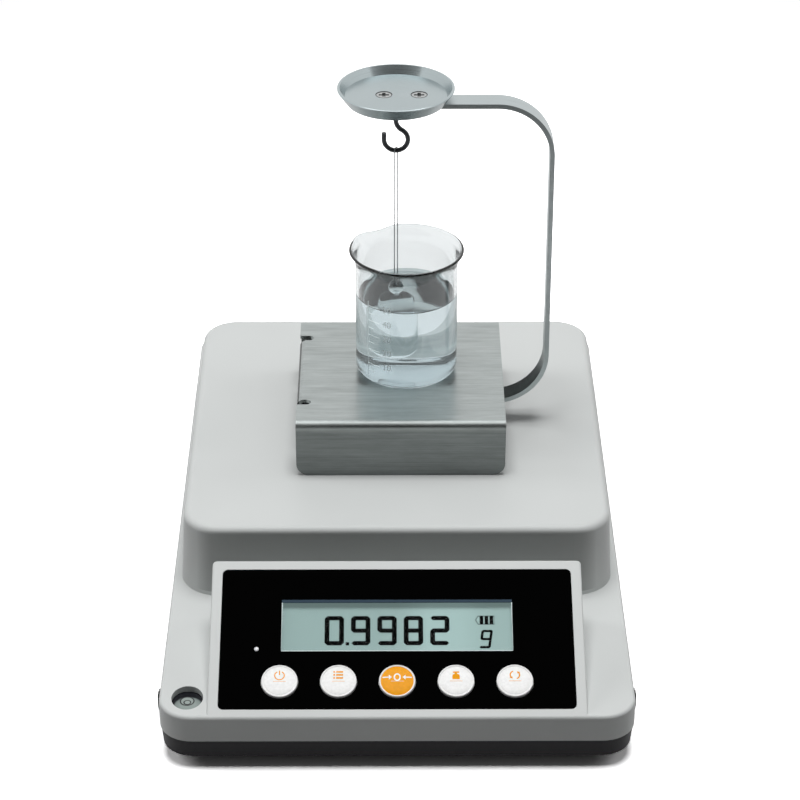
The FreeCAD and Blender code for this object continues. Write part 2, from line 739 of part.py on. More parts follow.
def back_corner_edges(console):
    """The two edges where the console's back meets its sides."""
    found = []
    for edge in console.Edges:
        corners = edge.Vertexes
        at_back = all(corner.Y > CONSOLE_BACK_Y - ABOUT for corner in corners)
        if at_back and abs(corners[0].X - corners[1].X) < ABOUT:
            found.append(edge)
    return found


def slope_rim_edges(console):
    """The edges round the console's sloped face, all but its front one."""
    found = []
    for edge in console.Edges:
        middle = edge.valueAt((edge.FirstParameter + edge.LastParameter) / 2)
        points = [corner.Point for corner in edge.Vertexes] + [middle]
        on_slope = all(abs(CONSOLE_Z + (p.y - CONSOLE_Y) * math.tan(TILT) - p.z) < ABOUT for p in points)
        if on_slope and middle.y > CONSOLE_Y + PAST:
            found.append(edge)
    return found


def upper_outside():
    deck = deck_solid(0.0, DECK_Z, SPLIT_Z)
    deck = deck.makeFillet(DECK_EDGE_R, level_edges(deck, DECK_Z))
    platform = platform_solid(0.0, PLATFORM_Z, DECK_Z - SHELL_WALL / 2)
    platform = platform.makeFillet(PLATFORM_EDGE_R, level_edges(platform, PLATFORM_Z))
    console = console_solid(0.0, 0.0, DECK_Z - DECK_EDGE_R)
    console = console.makeFillet(CONSOLE_CORNER_R, back_corner_edges(console))
    console = console.makeFillet(CONSOLE_EDGE_R, slope_rim_edges(console))
    return join([deck, platform, console])


def upper_inside():
    below = SPLIT_Z - PAST
    deck = deck_solid(SHELL_WALL, DECK_Z - SHELL_WALL, below)
    platform = platform_solid(SHELL_WALL, PLATFORM_Z - SHELL_WALL, DECK_Z - 2 * SHELL_WALL)
    console = console_solid(CONSOLE_FACE, CONSOLE_WALL, DECK_Z - 2 * SHELL_WALL)
    return [deck, platform, console]


def upper_bosses(outside):
    """Screw bosses, display-board bosses and the level's ring, trimmed to the outside of the shell."""
    bosses = []
    for x, y in case_screw_places():
        in_console = abs(x) < CONSOLE_WIDTH / 2 and y < CONSOLE_BACK_Y
        rise = (y - CONSOLE_Y) * math.tan(TILT) if in_console else 0.0
        bosses.append(cylinder(CASE_BOSS_R, SPLIT_Z, DECK_Z - SHELL_WALL / 2 + rise, x, y))
    for x, up in display_screw_places():
        bosses.append(on_console(cylinder(DISPLAY_BOSS_R, BOARD_FACE, -CONSOLE_FACE / 2, x, up)))
    bosses.append(cylinder(LEVEL_RING_R, LEVEL_CAP_Z, DECK_Z - SHELL_WALL / 2, LEVEL_X, LEVEL_Y))
    return [boss.common(outside) for boss in bosses]


def level_hole():
    """Oval opening in the deck over the level."""
    oval = Part.Ellipse(
        Vector(LEVEL_X, LEVEL_Y + LEVEL_HOLE_HALF_LENGTH, LEVEL_VIAL_TOP),
        Vector(LEVEL_X - LEVEL_HOLE_HALF_WIDTH, LEVEL_Y, LEVEL_VIAL_TOP),
        Vector(LEVEL_X, LEVEL_Y, LEVEL_VIAL_TOP)
    )
    return Part.Face(Part.Wire(oval.toShape())).extrude(Vector(0, 0, DECK_Z + PAST - LEVEL_VIAL_TOP))


def upper_case():
    outside = upper_outside()
    shell = cut(outside, upper_inside())
    shell = join([shell] + upper_bosses(outside))
    recess = slab(
        PANEL_WIDTH + 2 * PANEL_GAP, PANEL_LENGTH + 2 * PANEL_GAP, PANEL_CORNER_R,
        PANEL_SEAT, PANEL_SEAT + 2 * CONSOLE_FACE, 0.0, PANEL_MIDDLE
    )
    opening = slab(
        PANEL_WIDTH - 2 * PANEL_LEDGE, PANEL_LENGTH - 2 * PANEL_LEDGE_ENDS, PANEL_CORNER_R,
        -CONSOLE_FACE - PAST, PAST, 0.0, PANEL_MIDDLE
    )
    tools = [on_console(recess), on_console(opening)]
    for x, y in case_screw_places():
        tip = UNDERSIDE_Z + CASE_SCREW_SINK + CASE_SCREW_HEAD_T + CASE_SCREW_LENGTH
        tools.append(cylinder(CASE_SCREW_R + SCREW_GAP, SPLIT_Z - PAST, tip + SCREW_PASS, x, y))
    for x, up in display_screw_places():
        pilot = cylinder(BOARD_SCREW_R + SCREW_GAP, BOARD_FACE - PAST, -CONSOLE_FACE, x, up)
        tools.append(on_console(pilot))
    tools.append(level_hole())
    seat_r = LEVEL_VIAL_R + LEVEL_GAP
    tools.append(cylinder(seat_r, LEVEL_CAP_Z - PAST, LEVEL_VIAL_TOP + LEVEL_GAP, LEVEL_X, LEVEL_Y))
    tools.append(cylinder(post_hole_r(), PLATFORM_Z - 2 * SHELL_WALL, PLATFORM_Z + PAST, PAN_X, PAN_Y))
    jack_mouth = Vector(POWER_BOARD_X, BACK_Y - 2 * SHELL_WALL, JACK_Z)
    jack_hole_r = JACK_BORE_R + JACK_WALL_HOLE_GAP
    tools.append(Part.makeCylinder(jack_hole_r, 3 * SHELL_WALL, jack_mouth, Vector(0, 1, 0)))
    return cut(shell, tools)


def post_hole_r():
    """The case lifts off over the post, so its hole clears the corners of the post's flat head."""
    return math.hypot(POST_HEAD_LENGTH / 2, BAR_WIDTH / 2) + POST_HOLE_GAP


# ---- lower case ----
def tray_outline(inset, z0, z1):
    """The lower case's outside, narrower towards the bench. inset takes it in all round."""
    slope = (TRAY_DRAW_IN - TRAY_STEP_IN) / TRAY_HEIGHT
    low_in = TRAY_DRAW_IN - slope * (z0 - UNDERSIDE_Z) + inset
    width = HOUSING_WIDTH - 2 * low_in
    depth = HOUSING_DEPTH - 2 * low_in
    return tapered_slab(width, depth, HOUSING_CORNER_R - low_in, z0, z1, -slope * (z1 - z0))


def joint_lip():
    """Rim that rises inside the upper case and lines the two halves up."""
    outer_in = SHELL_WALL + LIP_GAP
    inner_in = outer_in + LIP_WALL
    outer = deck_solid(outer_in, SPLIT_Z + LIP_HEIGHT, SPLIT_Z - SHELL_WALL / 2)
    inner = deck_solid(inner_in, SPLIT_Z + LIP_HEIGHT + PAST, SPLIT_Z - SHELL_WALL)
    return outer.cut(inner)


def battery_bay():
    """Wall round the battery, standing on the floor."""
    outer_x = BATTERY_WIDTH / 2 + BAY_GAP + BAY_WALL
    outer_y = BATTERY_LENGTH / 2 + BAY_GAP + BAY_WALL
    return box(
        BATTERY_X - outer_x, BATTERY_X + outer_x, BATTERY_Y - outer_y, BATTERY_Y + outer_y,
        UNDERSIDE_Z + SHELL_WALL / 2, TRAY_FLOOR_TOP + BAY_WALL_H
    )


def lower_case():
    outside = tray_outline(0.0, UNDERSIDE_Z, SPLIT_Z)
    shell = outside.cut(tray_outline(SHELL_WALL, TRAY_FLOOR_TOP, SPLIT_Z + PAST))
    solids = [shell, joint_lip(), battery_bay()]
    tools = []
    floor = UNDERSIDE_Z + SHELL_WALL / 2
    for x, y in foot_places().values():
        drum = cylinder(FOOT_POCKET_R + FOOT_POCKET_WALL, UNDERSIDE_Z, FOOT_SLAB_Z, x, y)
        solids.append(drum.common(outside))
        solids.append(cylinder(FOOT_BOSS_R, FOOT_POCKET_Z, FOOT_INSERT_TOP, x, y))
        tools.append(cylinder(FOOT_POCKET_R, UNDERSIDE_Z - PAST, FOOT_POCKET_Z, x, y))
        tools.append(cylinder(FOOT_STUD_R + FOOT_STUD_PASS, FOOT_POCKET_Z - PAST, FOOT_INSERT_Z + PAST, x, y))
        tools.append(cylinder(FOOT_INSERT_R + SCREW_GAP, FOOT_INSERT_Z, FOOT_INSERT_TOP + PAST, x, y))
    for x, y in case_screw_places():
        seat = UNDERSIDE_Z + CASE_SCREW_SINK + CASE_SCREW_HEAD_T
        solids.append(cylinder(CASE_BOSS_R, floor, SPLIT_Z, x, y).common(outside))
        tools.append(cylinder(CASE_SCREW_HEAD_R + SCREW_PASS, UNDERSIDE_Z - PAST, seat, x, y))
        tools.append(cylinder(CASE_SCREW_R + SCREW_GAP, UNDERSIDE_Z, SPLIT_Z + PAST, x, y))
        tools.append(cylinder(CASE_BOSS_R + LIP_GAP, SPLIT_Z, SPLIT_Z + LIP_HEIGHT + PAST, x, y))
    for x, y in plate_screw_places():
        solids.append(cylinder(2 * PLATE_SCREW_R, floor, PLATE_Z, x, y))
        tools.append(cylinder(PLATE_SCREW_R + SCREW_GAP, TRAY_FLOOR_TOP - PAST, PLATE_Z + PAST, x, y))
    main = board_corners(MAIN_BOARD_WIDTH, MAIN_BOARD_DEPTH, 0.0, MAIN_BOARD_Y)
    power = board_corners(POWER_BOARD_WIDTH, POWER_BOARD_DEPTH, POWER_BOARD_X, POWER_BOARD_Y)
    for places, top in ((main, BOARD_Z), (power, POWER_BOARD_Z)):
        for x, y in places:
            solids.append(cylinder(STANDOFF_R, floor, top, x, y))
            low = top - BOARD_SCREW_BITE - SCREW_PASS
            tools.append(cylinder(BOARD_SCREW_R + SCREW_GAP, low, top + PAST, x, y))
    for x, y in cover_screw_places():
        boss_top = TRAY_FLOOR_TOP + COVER_BOSS_H
        solids.append(cylinder(COVER_BOSS_R, floor, boss_top, x, y))
        tools.append(cylinder(COVER_SCREW_R + SCREW_GAP, UNDERSIDE_Z, boss_top + PAST, x, y))
    bay_x = BATTERY_WIDTH / 2 + BAY_GAP
    bay_y = BATTERY_LENGTH / 2 + BAY_GAP
    tools.append(box(
        BATTERY_X - bay_x, BATTERY_X + bay_x, BATTERY_Y - bay_y, BATTERY_Y + bay_y,
        UNDERSIDE_Z - PAST, TRAY_FLOOR_TOP + BAY_WALL_H + PAST
    ))
    lap_x = bay_x + COVER_SIDE_LAP
    lap_y = bay_y + COVER_END_LAP
    tools.append(box(
        BATTERY_X - lap_x, BATTERY_X + lap_x, BATTERY_Y - lap_y, BATTERY_Y + lap_y,
        UNDERSIDE_Z - PAST, COVER_TOP
    ))
    notch_x = JACK_SIZE / 2 + LIP_GAP
    tools.append(box(
        POWER_BOARD_X - notch_x, POWER_BOARD_X + notch_x, POWER_BOARD_BACK, BACK_Y,
        SPLIT_Z, SPLIT_Z + LIP_HEIGHT + PAST
    ))
    return cut(join(solids), tools)


def battery_cover():
    half_x = BATTERY_WIDTH / 2 + BAY_GAP + COVER_SIDE_LAP - COVER_GAP
    half_y = BATTERY_LENGTH / 2 + BAY_GAP + COVER_END_LAP - COVER_GAP
    plate = box(
        BATTERY_X - half_x, BATTERY_X + half_x, BATTERY_Y - half_y, BATTERY_Y + half_y,
        UNDERSIDE_Z, COVER_TOP
    )
    tools = []
    for x, y in cover_screw_places():
        tools.append(cylinder(COVER_SCREW_R + SCREW_GAP, UNDERSIDE_Z - PAST, COVER_TOP + PAST, x, y))
        tools.append(cylinder(
            COVER_SCREW_HEAD_R + COVER_GAP, UNDERSIDE_Z - PAST, UNDERSIDE_Z + COVER_SCREW_HEAD_T, x, y
        ))
    return cut(plate, tools)


def battery():
    case = box(
        BATTERY_X - BATTERY_WIDTH / 2, BATTERY_X + BATTERY_WIDTH / 2,
        BATTERY_Y - BATTERY_LENGTH / 2, BATTERY_Y + BATTERY_LENGTH / 2,
        COVER_TOP, COVER_TOP + BATTERY_HEIGHT
    )
    upright = [edge for edge in case.Edges if abs(edge.tangentAt(edge.FirstParameter).z) > ALIGNED]
    return case.makeFillet(BATTERY_CORNER_R, upright)


# ---- screws and inserts ----
def case_screws():
    screws = []
    seat = UNDERSIDE_Z + CASE_SCREW_SINK + CASE_SCREW_HEAD_T
    for x, y in case_screw_places():
        screws.append(pan_head_screw(
            CASE_SCREW_R, CASE_SCREW_HEAD_R, CASE_SCREW_HEAD_T, seat, seat + CASE_SCREW_LENGTH, x, y
        ))
    return Part.Compound(screws)


def battery_cover_screws():
    screws = []
    seat = UNDERSIDE_Z + COVER_SCREW_HEAD_T
    tip = TRAY_FLOOR_TOP + COVER_BOSS_H - COVER_SCREW_SPARE
    for x, y in cover_screw_places():
        screws.append(pan_head_screw(COVER_SCREW_R, COVER_SCREW_HEAD_R, COVER_SCREW_HEAD_T, seat, tip, x, y))
    return Part.Compound(screws)


def board_screws(places, seat):
    screws = []
    tip = seat - BOARD_T - BOARD_SCREW_BITE
    for x, y in places:
        screws.append(pan_head_screw(
            BOARD_SCREW_R, BOARD_SCREW_HEAD_R, BOARD_SCREW_HEAD_T, seat, tip, x, y
        ))
    return screws


def foot_inserts():
    inserts = []
    for x, y in foot_places().values():
        sleeve = cylinder(FOOT_INSERT_R, FOOT_INSERT_Z, FOOT_INSERT_TOP, x, y)
        bore = cylinder(FOOT_STUD_R + FOOT_STUD_GAP, FOOT_INSERT_Z - PAST, FOOT_INSERT_TOP + PAST, x, y)
        inserts.append(sleeve.cut(bore))
    return Part.Compound(inserts)


# ---- levelling feet ----
def foot_pad(x, y):
    edge = FOOT_PAD_T / 3
    socket_r = FOOT_STUD_R + FOOT_PAD_SOCKET_GAP
    points = [
        (0, 0), (FOOT_PAD_R - edge, 0), (FOOT_PAD_R, edge), (FOOT_PAD_R - edge, FOOT_PAD_T),
        (socket_r, FOOT_PAD_T), (socket_r, FOOT_STUD_SEAT), (0, FOOT_STUD_SEAT)
    ]
    return turned(profile(points), x, y)


def foot_wheel(x, y):
    """Knurled wheel with its threaded stud, which turns in the pad and in the case's insert."""
    corners = []
    for step in range(2 * FOOT_KNURL_COUNT):
        angle = math.pi * step / FOOT_KNURL_COUNT
        radius = FOOT_WHEEL_R - FOOT_KNURL * (step % 2)
        corners.append(Vector(radius * math.cos(angle), radius * math.sin(angle), FOOT_WHEEL_Z))
    rim = Part.Face(Part.makePolygon(corners + corners[:1])).extrude(Vector(0, 0, FOOT_WHEEL_T))
    stud = cylinder(FOOT_STUD_R, FOOT_STUD_SEAT + FOOT_STUD_GAP, FOOT_INSERT_TOP)
    wheel = join([rim, stud])
    wheel.translate(Vector(x, y, 0))
    return wheel


# ---- bubble level ----
def level_vial():
    edge = LEVEL_VIAL_R / 10
    points = [
        (0, LEVEL_VIAL_Z), (LEVEL_VIAL_R, LEVEL_VIAL_Z), (LEVEL_VIAL_R, LEVEL_VIAL_TOP - edge),
        (LEVEL_VIAL_R - edge, LEVEL_VIAL_TOP), (0, LEVEL_VIAL_TOP)
    ]
    return turned(profile(points), LEVEL_X, LEVEL_Y)


def level_cap():
    """Disc pressed into the ring under the vial."""
    return cylinder(LEVEL_VIAL_R, LEVEL_CAP_Z, LEVEL_VIAL_Z, LEVEL_X, LEVEL_Y)


# ---- console pieces ----
def display_panel():
    corner_r = PANEL_CORNER_R - PANEL_GAP
    plate = slab(PANEL_WIDTH, PANEL_LENGTH, corner_r, PANEL_SEAT, -PANEL_SINK, 0.0, PANEL_MIDDLE)
    tools = [slab(WINDOW_WIDTH, WINDOW_HEIGHT, GLASS_CORNER_R, PANEL_SEAT - PAST, PAST, 0.0, WINDOW_UP)]
    for index in range(KEY_COUNT):
        tools.append(cylinder(KEY_R + KEY_HOLE_GAP, PANEL_SEAT - PAST, PAST, key_x(index), KEY_UP))
    tools.append(cylinder(LED_HOLE_R, PANEL_SEAT - PAST, PAST, LED_X, LED_UP))
    return on_console(cut(plate, tools))


def display_window():
    width = WINDOW_WIDTH + 2 * WINDOW_OVERLAP
    height = WINDOW_HEIGHT + 2 * WINDOW_OVERLAP
    return on_console(slab(width, height, GLASS_CORNER_R, WINDOW_BACK, PANEL_SEAT, 0.0, WINDOW_UP))


def lcd_size():
    return WINDOW_WIDTH + 2 * LCD_OVERLAP, WINDOW_HEIGHT + 2 * LCD_OVERLAP


def lcd():
    width, height = lcd_size()
    return on_console(slab(width, height, GLASS_CORNER_R, LCD_BACK, WINDOW_BACK - STACK_GAP, 0.0, WINDOW_UP))


def lcd_holder():
    """Frame that seats the glass on the display board."""
    width, height = lcd_size()
    gap = STACK_GAP
    frame = slab(
        width + 2 * (gap + HOLDER_WALL), height + 2 * (gap + HOLDER_WALL), HOLDER_WALL,
        BOARD_FACE, LCD_BACK + HOLDER_RISE, 0.0, WINDOW_UP
    )
    pocket = slab(width + 2 * gap, height + 2 * gap, GLASS_CORNER_R, LCD_BACK, 0.0, 0.0, WINDOW_UP)
    return on_console(cut(frame, [pocket]))


def power_led():
    shoulder = LED_BODY_R - LED_NOSE_R
    neck = PANEL_SEAT - LED_SHOULDER_GAP
    nose = PANEL_SEAT + PANEL_THICKNESS
    points = [
        (0, BOARD_FACE), (LED_BODY_R, BOARD_FACE), (LED_BODY_R, neck - shoulder),
        (LED_NOSE_R, neck), (LED_NOSE_R, nose - LED_DOME), (LED_NOSE_R / 2, nose), (0, nose)
    ]
    return on_console(turned(profile(points), LED_X, LED_UP))


def key(index):
    """Round cap with a retaining flange under the panel and a stem that enters its switch."""
    top = -PANEL_SINK + KEY_PROUD
    flange_top = PANEL_SEAT - STACK_GAP
    flange_low = flange_top - KEY_FLANGE_T
    tip = SWITCH_TOP - SWITCH_ENTRY
    points = [
        (0, top - KEY_DISH), (KEY_R / 2, top - KEY_DISH / 4), (KEY_R - KEY_EDGE_R, top),
        (KEY_R - KEY_EDGE_R / 3, top - KEY_EDGE_R / 3), (KEY_R, top - KEY_EDGE_R), (KEY_R, flange_top),
        (KEY_FLANGE_R, flange_top), (KEY_FLANGE_R, flange_low), (KEY_STEM_R, flange_low),
        (KEY_STEM_R, tip), (0, tip)
    ]
    return on_console(turned(profile(points), key_x(index), KEY_UP))


def key_switches():
    bodies = []
    half = SWITCH_SIZE / 2
    for index in range(KEY_COUNT):
        x = key_x(index)
        body = box(x - half, x + half, KEY_UP - half, KEY_UP + half, BOARD_FACE, SWITCH_TOP)
        bore_z = SWITCH_TOP - SWITCH_BORE_DEPTH
        bore = cylinder(KEY_STEM_R + KEY_STEM_GAP, bore_z, SWITCH_TOP + PAST, x, KEY_UP)
        bodies.append(on_console(body.cut(bore)))
    return Part.Compound(bodies)


def display_board():
    back = BOARD_FACE - BOARD_T
    wide = DISPLAY_BOARD_HALF
    half = wide - DISPLAY_TAB_WIDTH
    middle = box(-half, half, DISPLAY_BOARD_FRONT, DISPLAY_BOARD_BACK, back, BOARD_FACE)
    tabs = box(-wide, wide, DISPLAY_TAB_FRONT, DISPLAY_BOARD_BACK, back, BOARD_FACE)
    tools = []
    for x, up in display_screw_places():
        tools.append(cylinder(BOARD_SCREW_R + SCREW_GAP, back - PAST, BOARD_FACE + PAST, x, up))
    return on_console(cut(join([middle, tabs]), tools))


def display_board_screws():
    screws = []
    seat = BOARD_FACE - BOARD_T
    tip = BOARD_FACE + BOARD_SCREW_BITE
    for x, up in display_screw_places():
        screws.append(on_console(pan_head_screw(
            BOARD_SCREW_R, BOARD_SCREW_HEAD_R, BOARD_SCREW_HEAD_T, seat, tip, x, up
        )))
    return Part.Compound(screws)


# ---- load cell and what it stands on ----
def base_plate():
    plate = box(
        PAN_X - PLATE_HALF_WIDTH, PAN_X + PLATE_HALF_WIDTH,
        PLATE_Y, PLATE_Y + PLATE_LENGTH, PLATE_Z, PLATE_TOP
    )
    tools = []
    for x, y in plate_screw_places():
        tools.append(cylinder(PLATE_SCREW_R + SCREW_GAP, PLATE_Z - PAST, PLATE_TOP + PAST, x, y))
    for x, y in cell_screw_places():
        tools.append(cylinder(CELL_SCREW_R + SCREW_GAP, PLATE_Z - PAST, PLATE_TOP + PAST, x, y))
        seat = PLATE_Z + CELL_SCREW_HEAD_SINK + CELL_SCREW_HEAD_T
        tools.append(cylinder(CELL_SCREW_HEAD_R + SCREW_PASS, PLATE_Z - PAST, seat, x, y))
    stop_x, stop_y = stop_place()
    tools.append(cylinder(STOP_SCREW_R + SCREW_GAP, PLATE_Z - PAST, PLATE_TOP + PAST, stop_x, stop_y))
    return cut(plate, tools)


def stop_place():
    return PAN_X, CELL_Y + 2 * STOP_SCREW_R


def base_plate_screws():
    screws = []
    for x, y in plate_screw_places():
        screws.append(pan_head_screw(
            PLATE_SCREW_R, PLATE_SCREW_HEAD_R, PLATE_SCREW_HEAD_T, PLATE_TOP, TRAY_FLOOR_TOP, x, y
        ))
    return Part.Compound(screws)


def load_cell_spacer():
    half = CELL_WIDTH / 2
    front_y = CELL_BACK_Y - CELL_SPACER_LENGTH
    block = box(PAN_X - half, PAN_X + half, front_y, CELL_BACK_Y, PLATE_TOP, CELL_Z)
    tools = []
    for x, y in cell_screw_places():
        tools.append(cylinder(CELL_SCREW_R + SCREW_GAP, PLATE_TOP - PAST, CELL_Z + PAST, x, y))
    return cut(block, tools)


def load_cell():
    """Single-point bending beam: two bores joined by a slot leave four thin flexures."""
    half = CELL_WIDTH / 2
    beam = box(PAN_X - half, PAN_X + half, CELL_Y, CELL_BACK_Y, CELL_Z, CELL_TOP)
    middle_y = (CELL_Y + CELL_BACK_Y) / 2
    middle_z = (CELL_Z + CELL_TOP) / 2
    reach = CELL_BORE_SPACING / 2
    tools = []
    for side in (-1, 1):
        start = Vector(PAN_X - half - PAST, middle_y + side * reach, middle_z)
        tools.append(Part.makeCylinder(CELL_BORE_R, CELL_WIDTH + 2 * PAST, start, Vector(1, 0, 0)))
    slot = CELL_WINDOW / 2
    tools.append(box(
        PAN_X - half - PAST, PAN_X + half + PAST, middle_y - reach, middle_y + reach,
        middle_z - slot, middle_z + slot
    ))
    for x, y in cell_screw_places():
        tools.append(cylinder(CELL_SCREW_R + SCREW_GAP, CELL_Z - PAST, CELL_Z + CELL_SCREW_BITE + PAST, x, y))
    for x, y in pan_screw_places():
        low = PAN_BASE_Z - PAN_SCREW_BITE - CELL_HOLE_SPARE
        tools.append(cylinder(PAN_SCREW_R + SCREW_PASS, low, CELL_TOP + PAST, x, y))
    return cut(beam, tools)


def load_cell_screws():
    screws = []
    seat = PLATE_Z + CELL_SCREW_HEAD_SINK + CELL_SCREW_HEAD_T
    for x, y in cell_screw_places():
        screws.append(pan_head_screw(
            CELL_SCREW_R, CELL_SCREW_HEAD_R, CELL_SCREW_HEAD_T, seat, CELL_Z + CELL_SCREW_BITE, x, y
        ))
    return Part.Compound(screws)


def overload_stop():
    """Set screw and lock nut under the cell's free end."""
    x, y = stop_place()
    tip = CELL_Z - STOP_GAP
    return join([
        cylinder(STOP_SCREW_R, PLATE_Z, tip, x, y),
        hexagon(STOP_NUT_AF, PLATE_TOP, PLATE_TOP + STOP_NUT_T, x, y)
    ])


def pan_support():
    """Block on the cell's free end, with the post that comes up through the platform and its flat head."""
    base_x = PAN_BASE_WIDTH / 2
    base_y = PAN_BASE_LENGTH / 2
    head_x = POST_HEAD_LENGTH / 2
    solids = [
        box(PAN_X - base_x, PAN_X + base_x, PAN_Y - base_y, PAN_Y + base_y, PAN_BASE_Z, PAN_BASE_TOP),
        cylinder(POST_R, PAN_BASE_Z, BAR_Z, PAN_X, PAN_Y),
        box(
            PAN_X - head_x, PAN_X + head_x, PAN_Y - BAR_WIDTH / 2, PAN_Y + BAR_WIDTH / 2,
            BAR_Z - POST_HEAD_T, BAR_Z
        )
    ]
    tools = []
    for x, y in pan_screw_places():
        tools.append(cylinder(PAN_SCREW_R + SCREW_GAP, PAN_BASE_Z - PAST, PAN_BASE_TOP + PAST, x, y))
        seat = PAN_BASE_TOP - PAN_SCREW_HEAD_T - PAN_SCREW_SINK
        tools.append(cylinder(PAN_SCREW_HEAD_R + SCREW_GAP, seat, PAN_BASE_TOP + PAST, x, y))
    for x, y in arm_screw_places():
        low = BAR_Z - POST_HEAD_T + ARM_SCREW_SPARE - SCREW_PASS
        tools.append(cylinder(CSK_SHANK_R + SCREW_GAP, low, BAR_Z + PAST, x, y))
    return cut(join(solids), tools)


def pan_support_screws():
    screws = []
    seat = PAN_BASE_TOP - PAN_SCREW_HEAD_T - PAN_SCREW_SINK
    for x, y in pan_screw_places():
        screws.append(pan_head_screw(
            PAN_SCREW_R, PAN_SCREW_HEAD_R, PAN_SCREW_HEAD_T, seat, PAN_BASE_Z - PAN_SCREW_BITE, x, y
        ))
    return Part.Compound(screws)


def arm_screws():
    tip = BAR_Z - POST_HEAD_T + ARM_SCREW_SPARE
    return Part.Compound([csk_screw(BAR_TOP - CSK_SINK, tip, x, y) for x, y in arm_screw_places()])


# ---- hanger arm, tray and hook ----
def hanger_arm():
    """Flat bar bent into a C: low run, upright, and top run over the beaker."""
    middle_r = ARM_BEND_R - BAR_T / 2
    low = BAR_Z + BAR_T / 2
    high = ARM_TOP_Z - BAR_T / 2
    outer = ARM_OUTER_X - BAR_T / 2
    bend_x = ARM_OUTER_X - ARM_BEND_R
    tail_x = PAN_X - ARM_TAIL
    edges = [
        line_edge((tail_x, low), (bend_x, low)),
        arc_edge((bend_x, low + middle_r), middle_r, -90, 0),
        line_edge((outer, low + middle_r), (outer, high - middle_r)),
        arc_edge((bend_x, high - middle_r), middle_r, 0, 90),
        line_edge((bend_x, high), (tail_x, high))
    ]
    arm = bent_strip(edges, BAR_T, BAR_WIDTH, PAN_Y)
    upright = [
        edge for edge in arm.Edges
        if abs(edge.Vertexes[0].X - tail_x) < ABOUT and abs(edge.Vertexes[-1].X - tail_x) < ABOUT
        and abs(edge.Vertexes[0].Z - edge.Vertexes[-1].Z) > BAR_T / 2
    ]
    arm = arm.makeFillet(BAR_T / 2, upright)
    tools = [csk_hole(BAR_TOP, BAR_Z - PAST, x, y) for x, y in arm_screw_places()]
    for x, y in tray_screw_places():
        tools.append(cylinder(CSK_SHANK_R + SCREW_GAP, ARM_END_UNDERSIDE - PAST, ARM_TOP_Z + PAST, x, y))
    tools.append(cylinder(HOOK_WIRE_R + SCREW_GAP, ARM_END_UNDERSIDE - PAST, ARM_TOP_Z + PAST, PAN_X, PAN_Y))
    return cut(arm, tools)


def weighing_tray():
    lip = TRAY_SIDE_T
    side_run = (TRAY_RIM_R - TRAY_BASE_R) / TRAY_DEPTH
    floor_r = TRAY_BASE_R + side_run * TRAY_FLOOR_T - lip
    points = [
        (0, ARM_TOP_Z), (TRAY_BASE_R, ARM_TOP_Z),
        (TRAY_RIM_R, TRAY_RIM_Z - lip / 2), (TRAY_RIM_R, TRAY_RIM_Z - lip / 5),
        (TRAY_RIM_R - lip / 4, TRAY_RIM_Z), (TRAY_RIM_R - lip, TRAY_RIM_Z),
        (floor_r, TRAY_TOP_OF_FLOOR), (0, TRAY_TOP_OF_FLOOR)
    ]
    dish = turned(profile(points), PAN_X, PAN_Y)
    low = ARM_TOP_Z - PAST
    return cut(dish, [csk_hole(TRAY_TOP_OF_FLOOR, low, x, y) for x, y in tray_screw_places()])


def tray_screws():
    tip = ARM_END_UNDERSIDE - TRAY_SCREW_END
    return Part.Compound([csk_screw(TRAY_TOP_OF_FLOOR - CSK_SINK, tip, x, y) for x, y in tray_screw_places()])


def sinker_hook():
    """Wire hook: a stem, a turn to the right, and an open round loop under the stem."""
    swing = 2 * HOOK_R
    rise = math.sqrt(swing ** 2 - HOOK_R ** 2)
    turn_z = HOOK_CENTRE_Z + rise
    meet = math.degrees(math.atan2(rise, HOOK_R))
    edges = [
        line_edge((0, ARM_TOP_Z), (0, turn_z)),
        arc_edge((HOOK_R, turn_z), HOOK_R, 180, 180 + meet),
        arc_edge((0, HOOK_CENTRE_Z), HOOK_R, meet, -180),
        line_edge((-HOOK_R, HOOK_CENTRE_Z), (-HOOK_R, HOOK_CENTRE_Z + HOOK_TIP))
    ]
    hook = round_bar(Part.Wire(edges), HOOK_WIRE_R)
    hook.translate(Vector(PAN_X, PAN_Y, 0))
    return hook


def hook_nut():
    nut = hexagon(HOOK_NUT_AF, ARM_END_UNDERSIDE - HOOK_NUT_T, ARM_END_UNDERSIDE, PAN_X, PAN_Y)
    bore = cylinder(HOOK_WIRE_R + SCREW_GAP, ARM_END_UNDERSIDE - 2 * HOOK_NUT_T, ARM_TOP_Z, PAN_X, PAN_Y)
    return nut.cut(bore)


def sinker_wire():
    """Long closed loop of fine wire, over the hook and through the sinker's eye."""
    edges = [
        arc_edge((0, LOOP_TOP_Z), LOOP_R, 0, 180),
        line_edge((-LOOP_R, LOOP_TOP_Z), (-LOOP_R, LOOP_BOTTOM_Z)),
        arc_edge((0, LOOP_BOTTOM_Z), LOOP_R, 180, 360),
        line_edge((LOOP_R, LOOP_BOTTOM_Z), (LOOP_R, LOOP_TOP_Z))
    ]
    strands = []
    for edge in edges:
        strands.append(round_bar(Part.Wire([edge]), LOOP_WIRE_R))
    loop = join(strands)
    loop.rotate(Vector(0, 0, 0), UP, 90 - LOOP_TURN_DEG)
    loop.translate(Vector(PAN_X, PAN_Y, 0))
    return loop


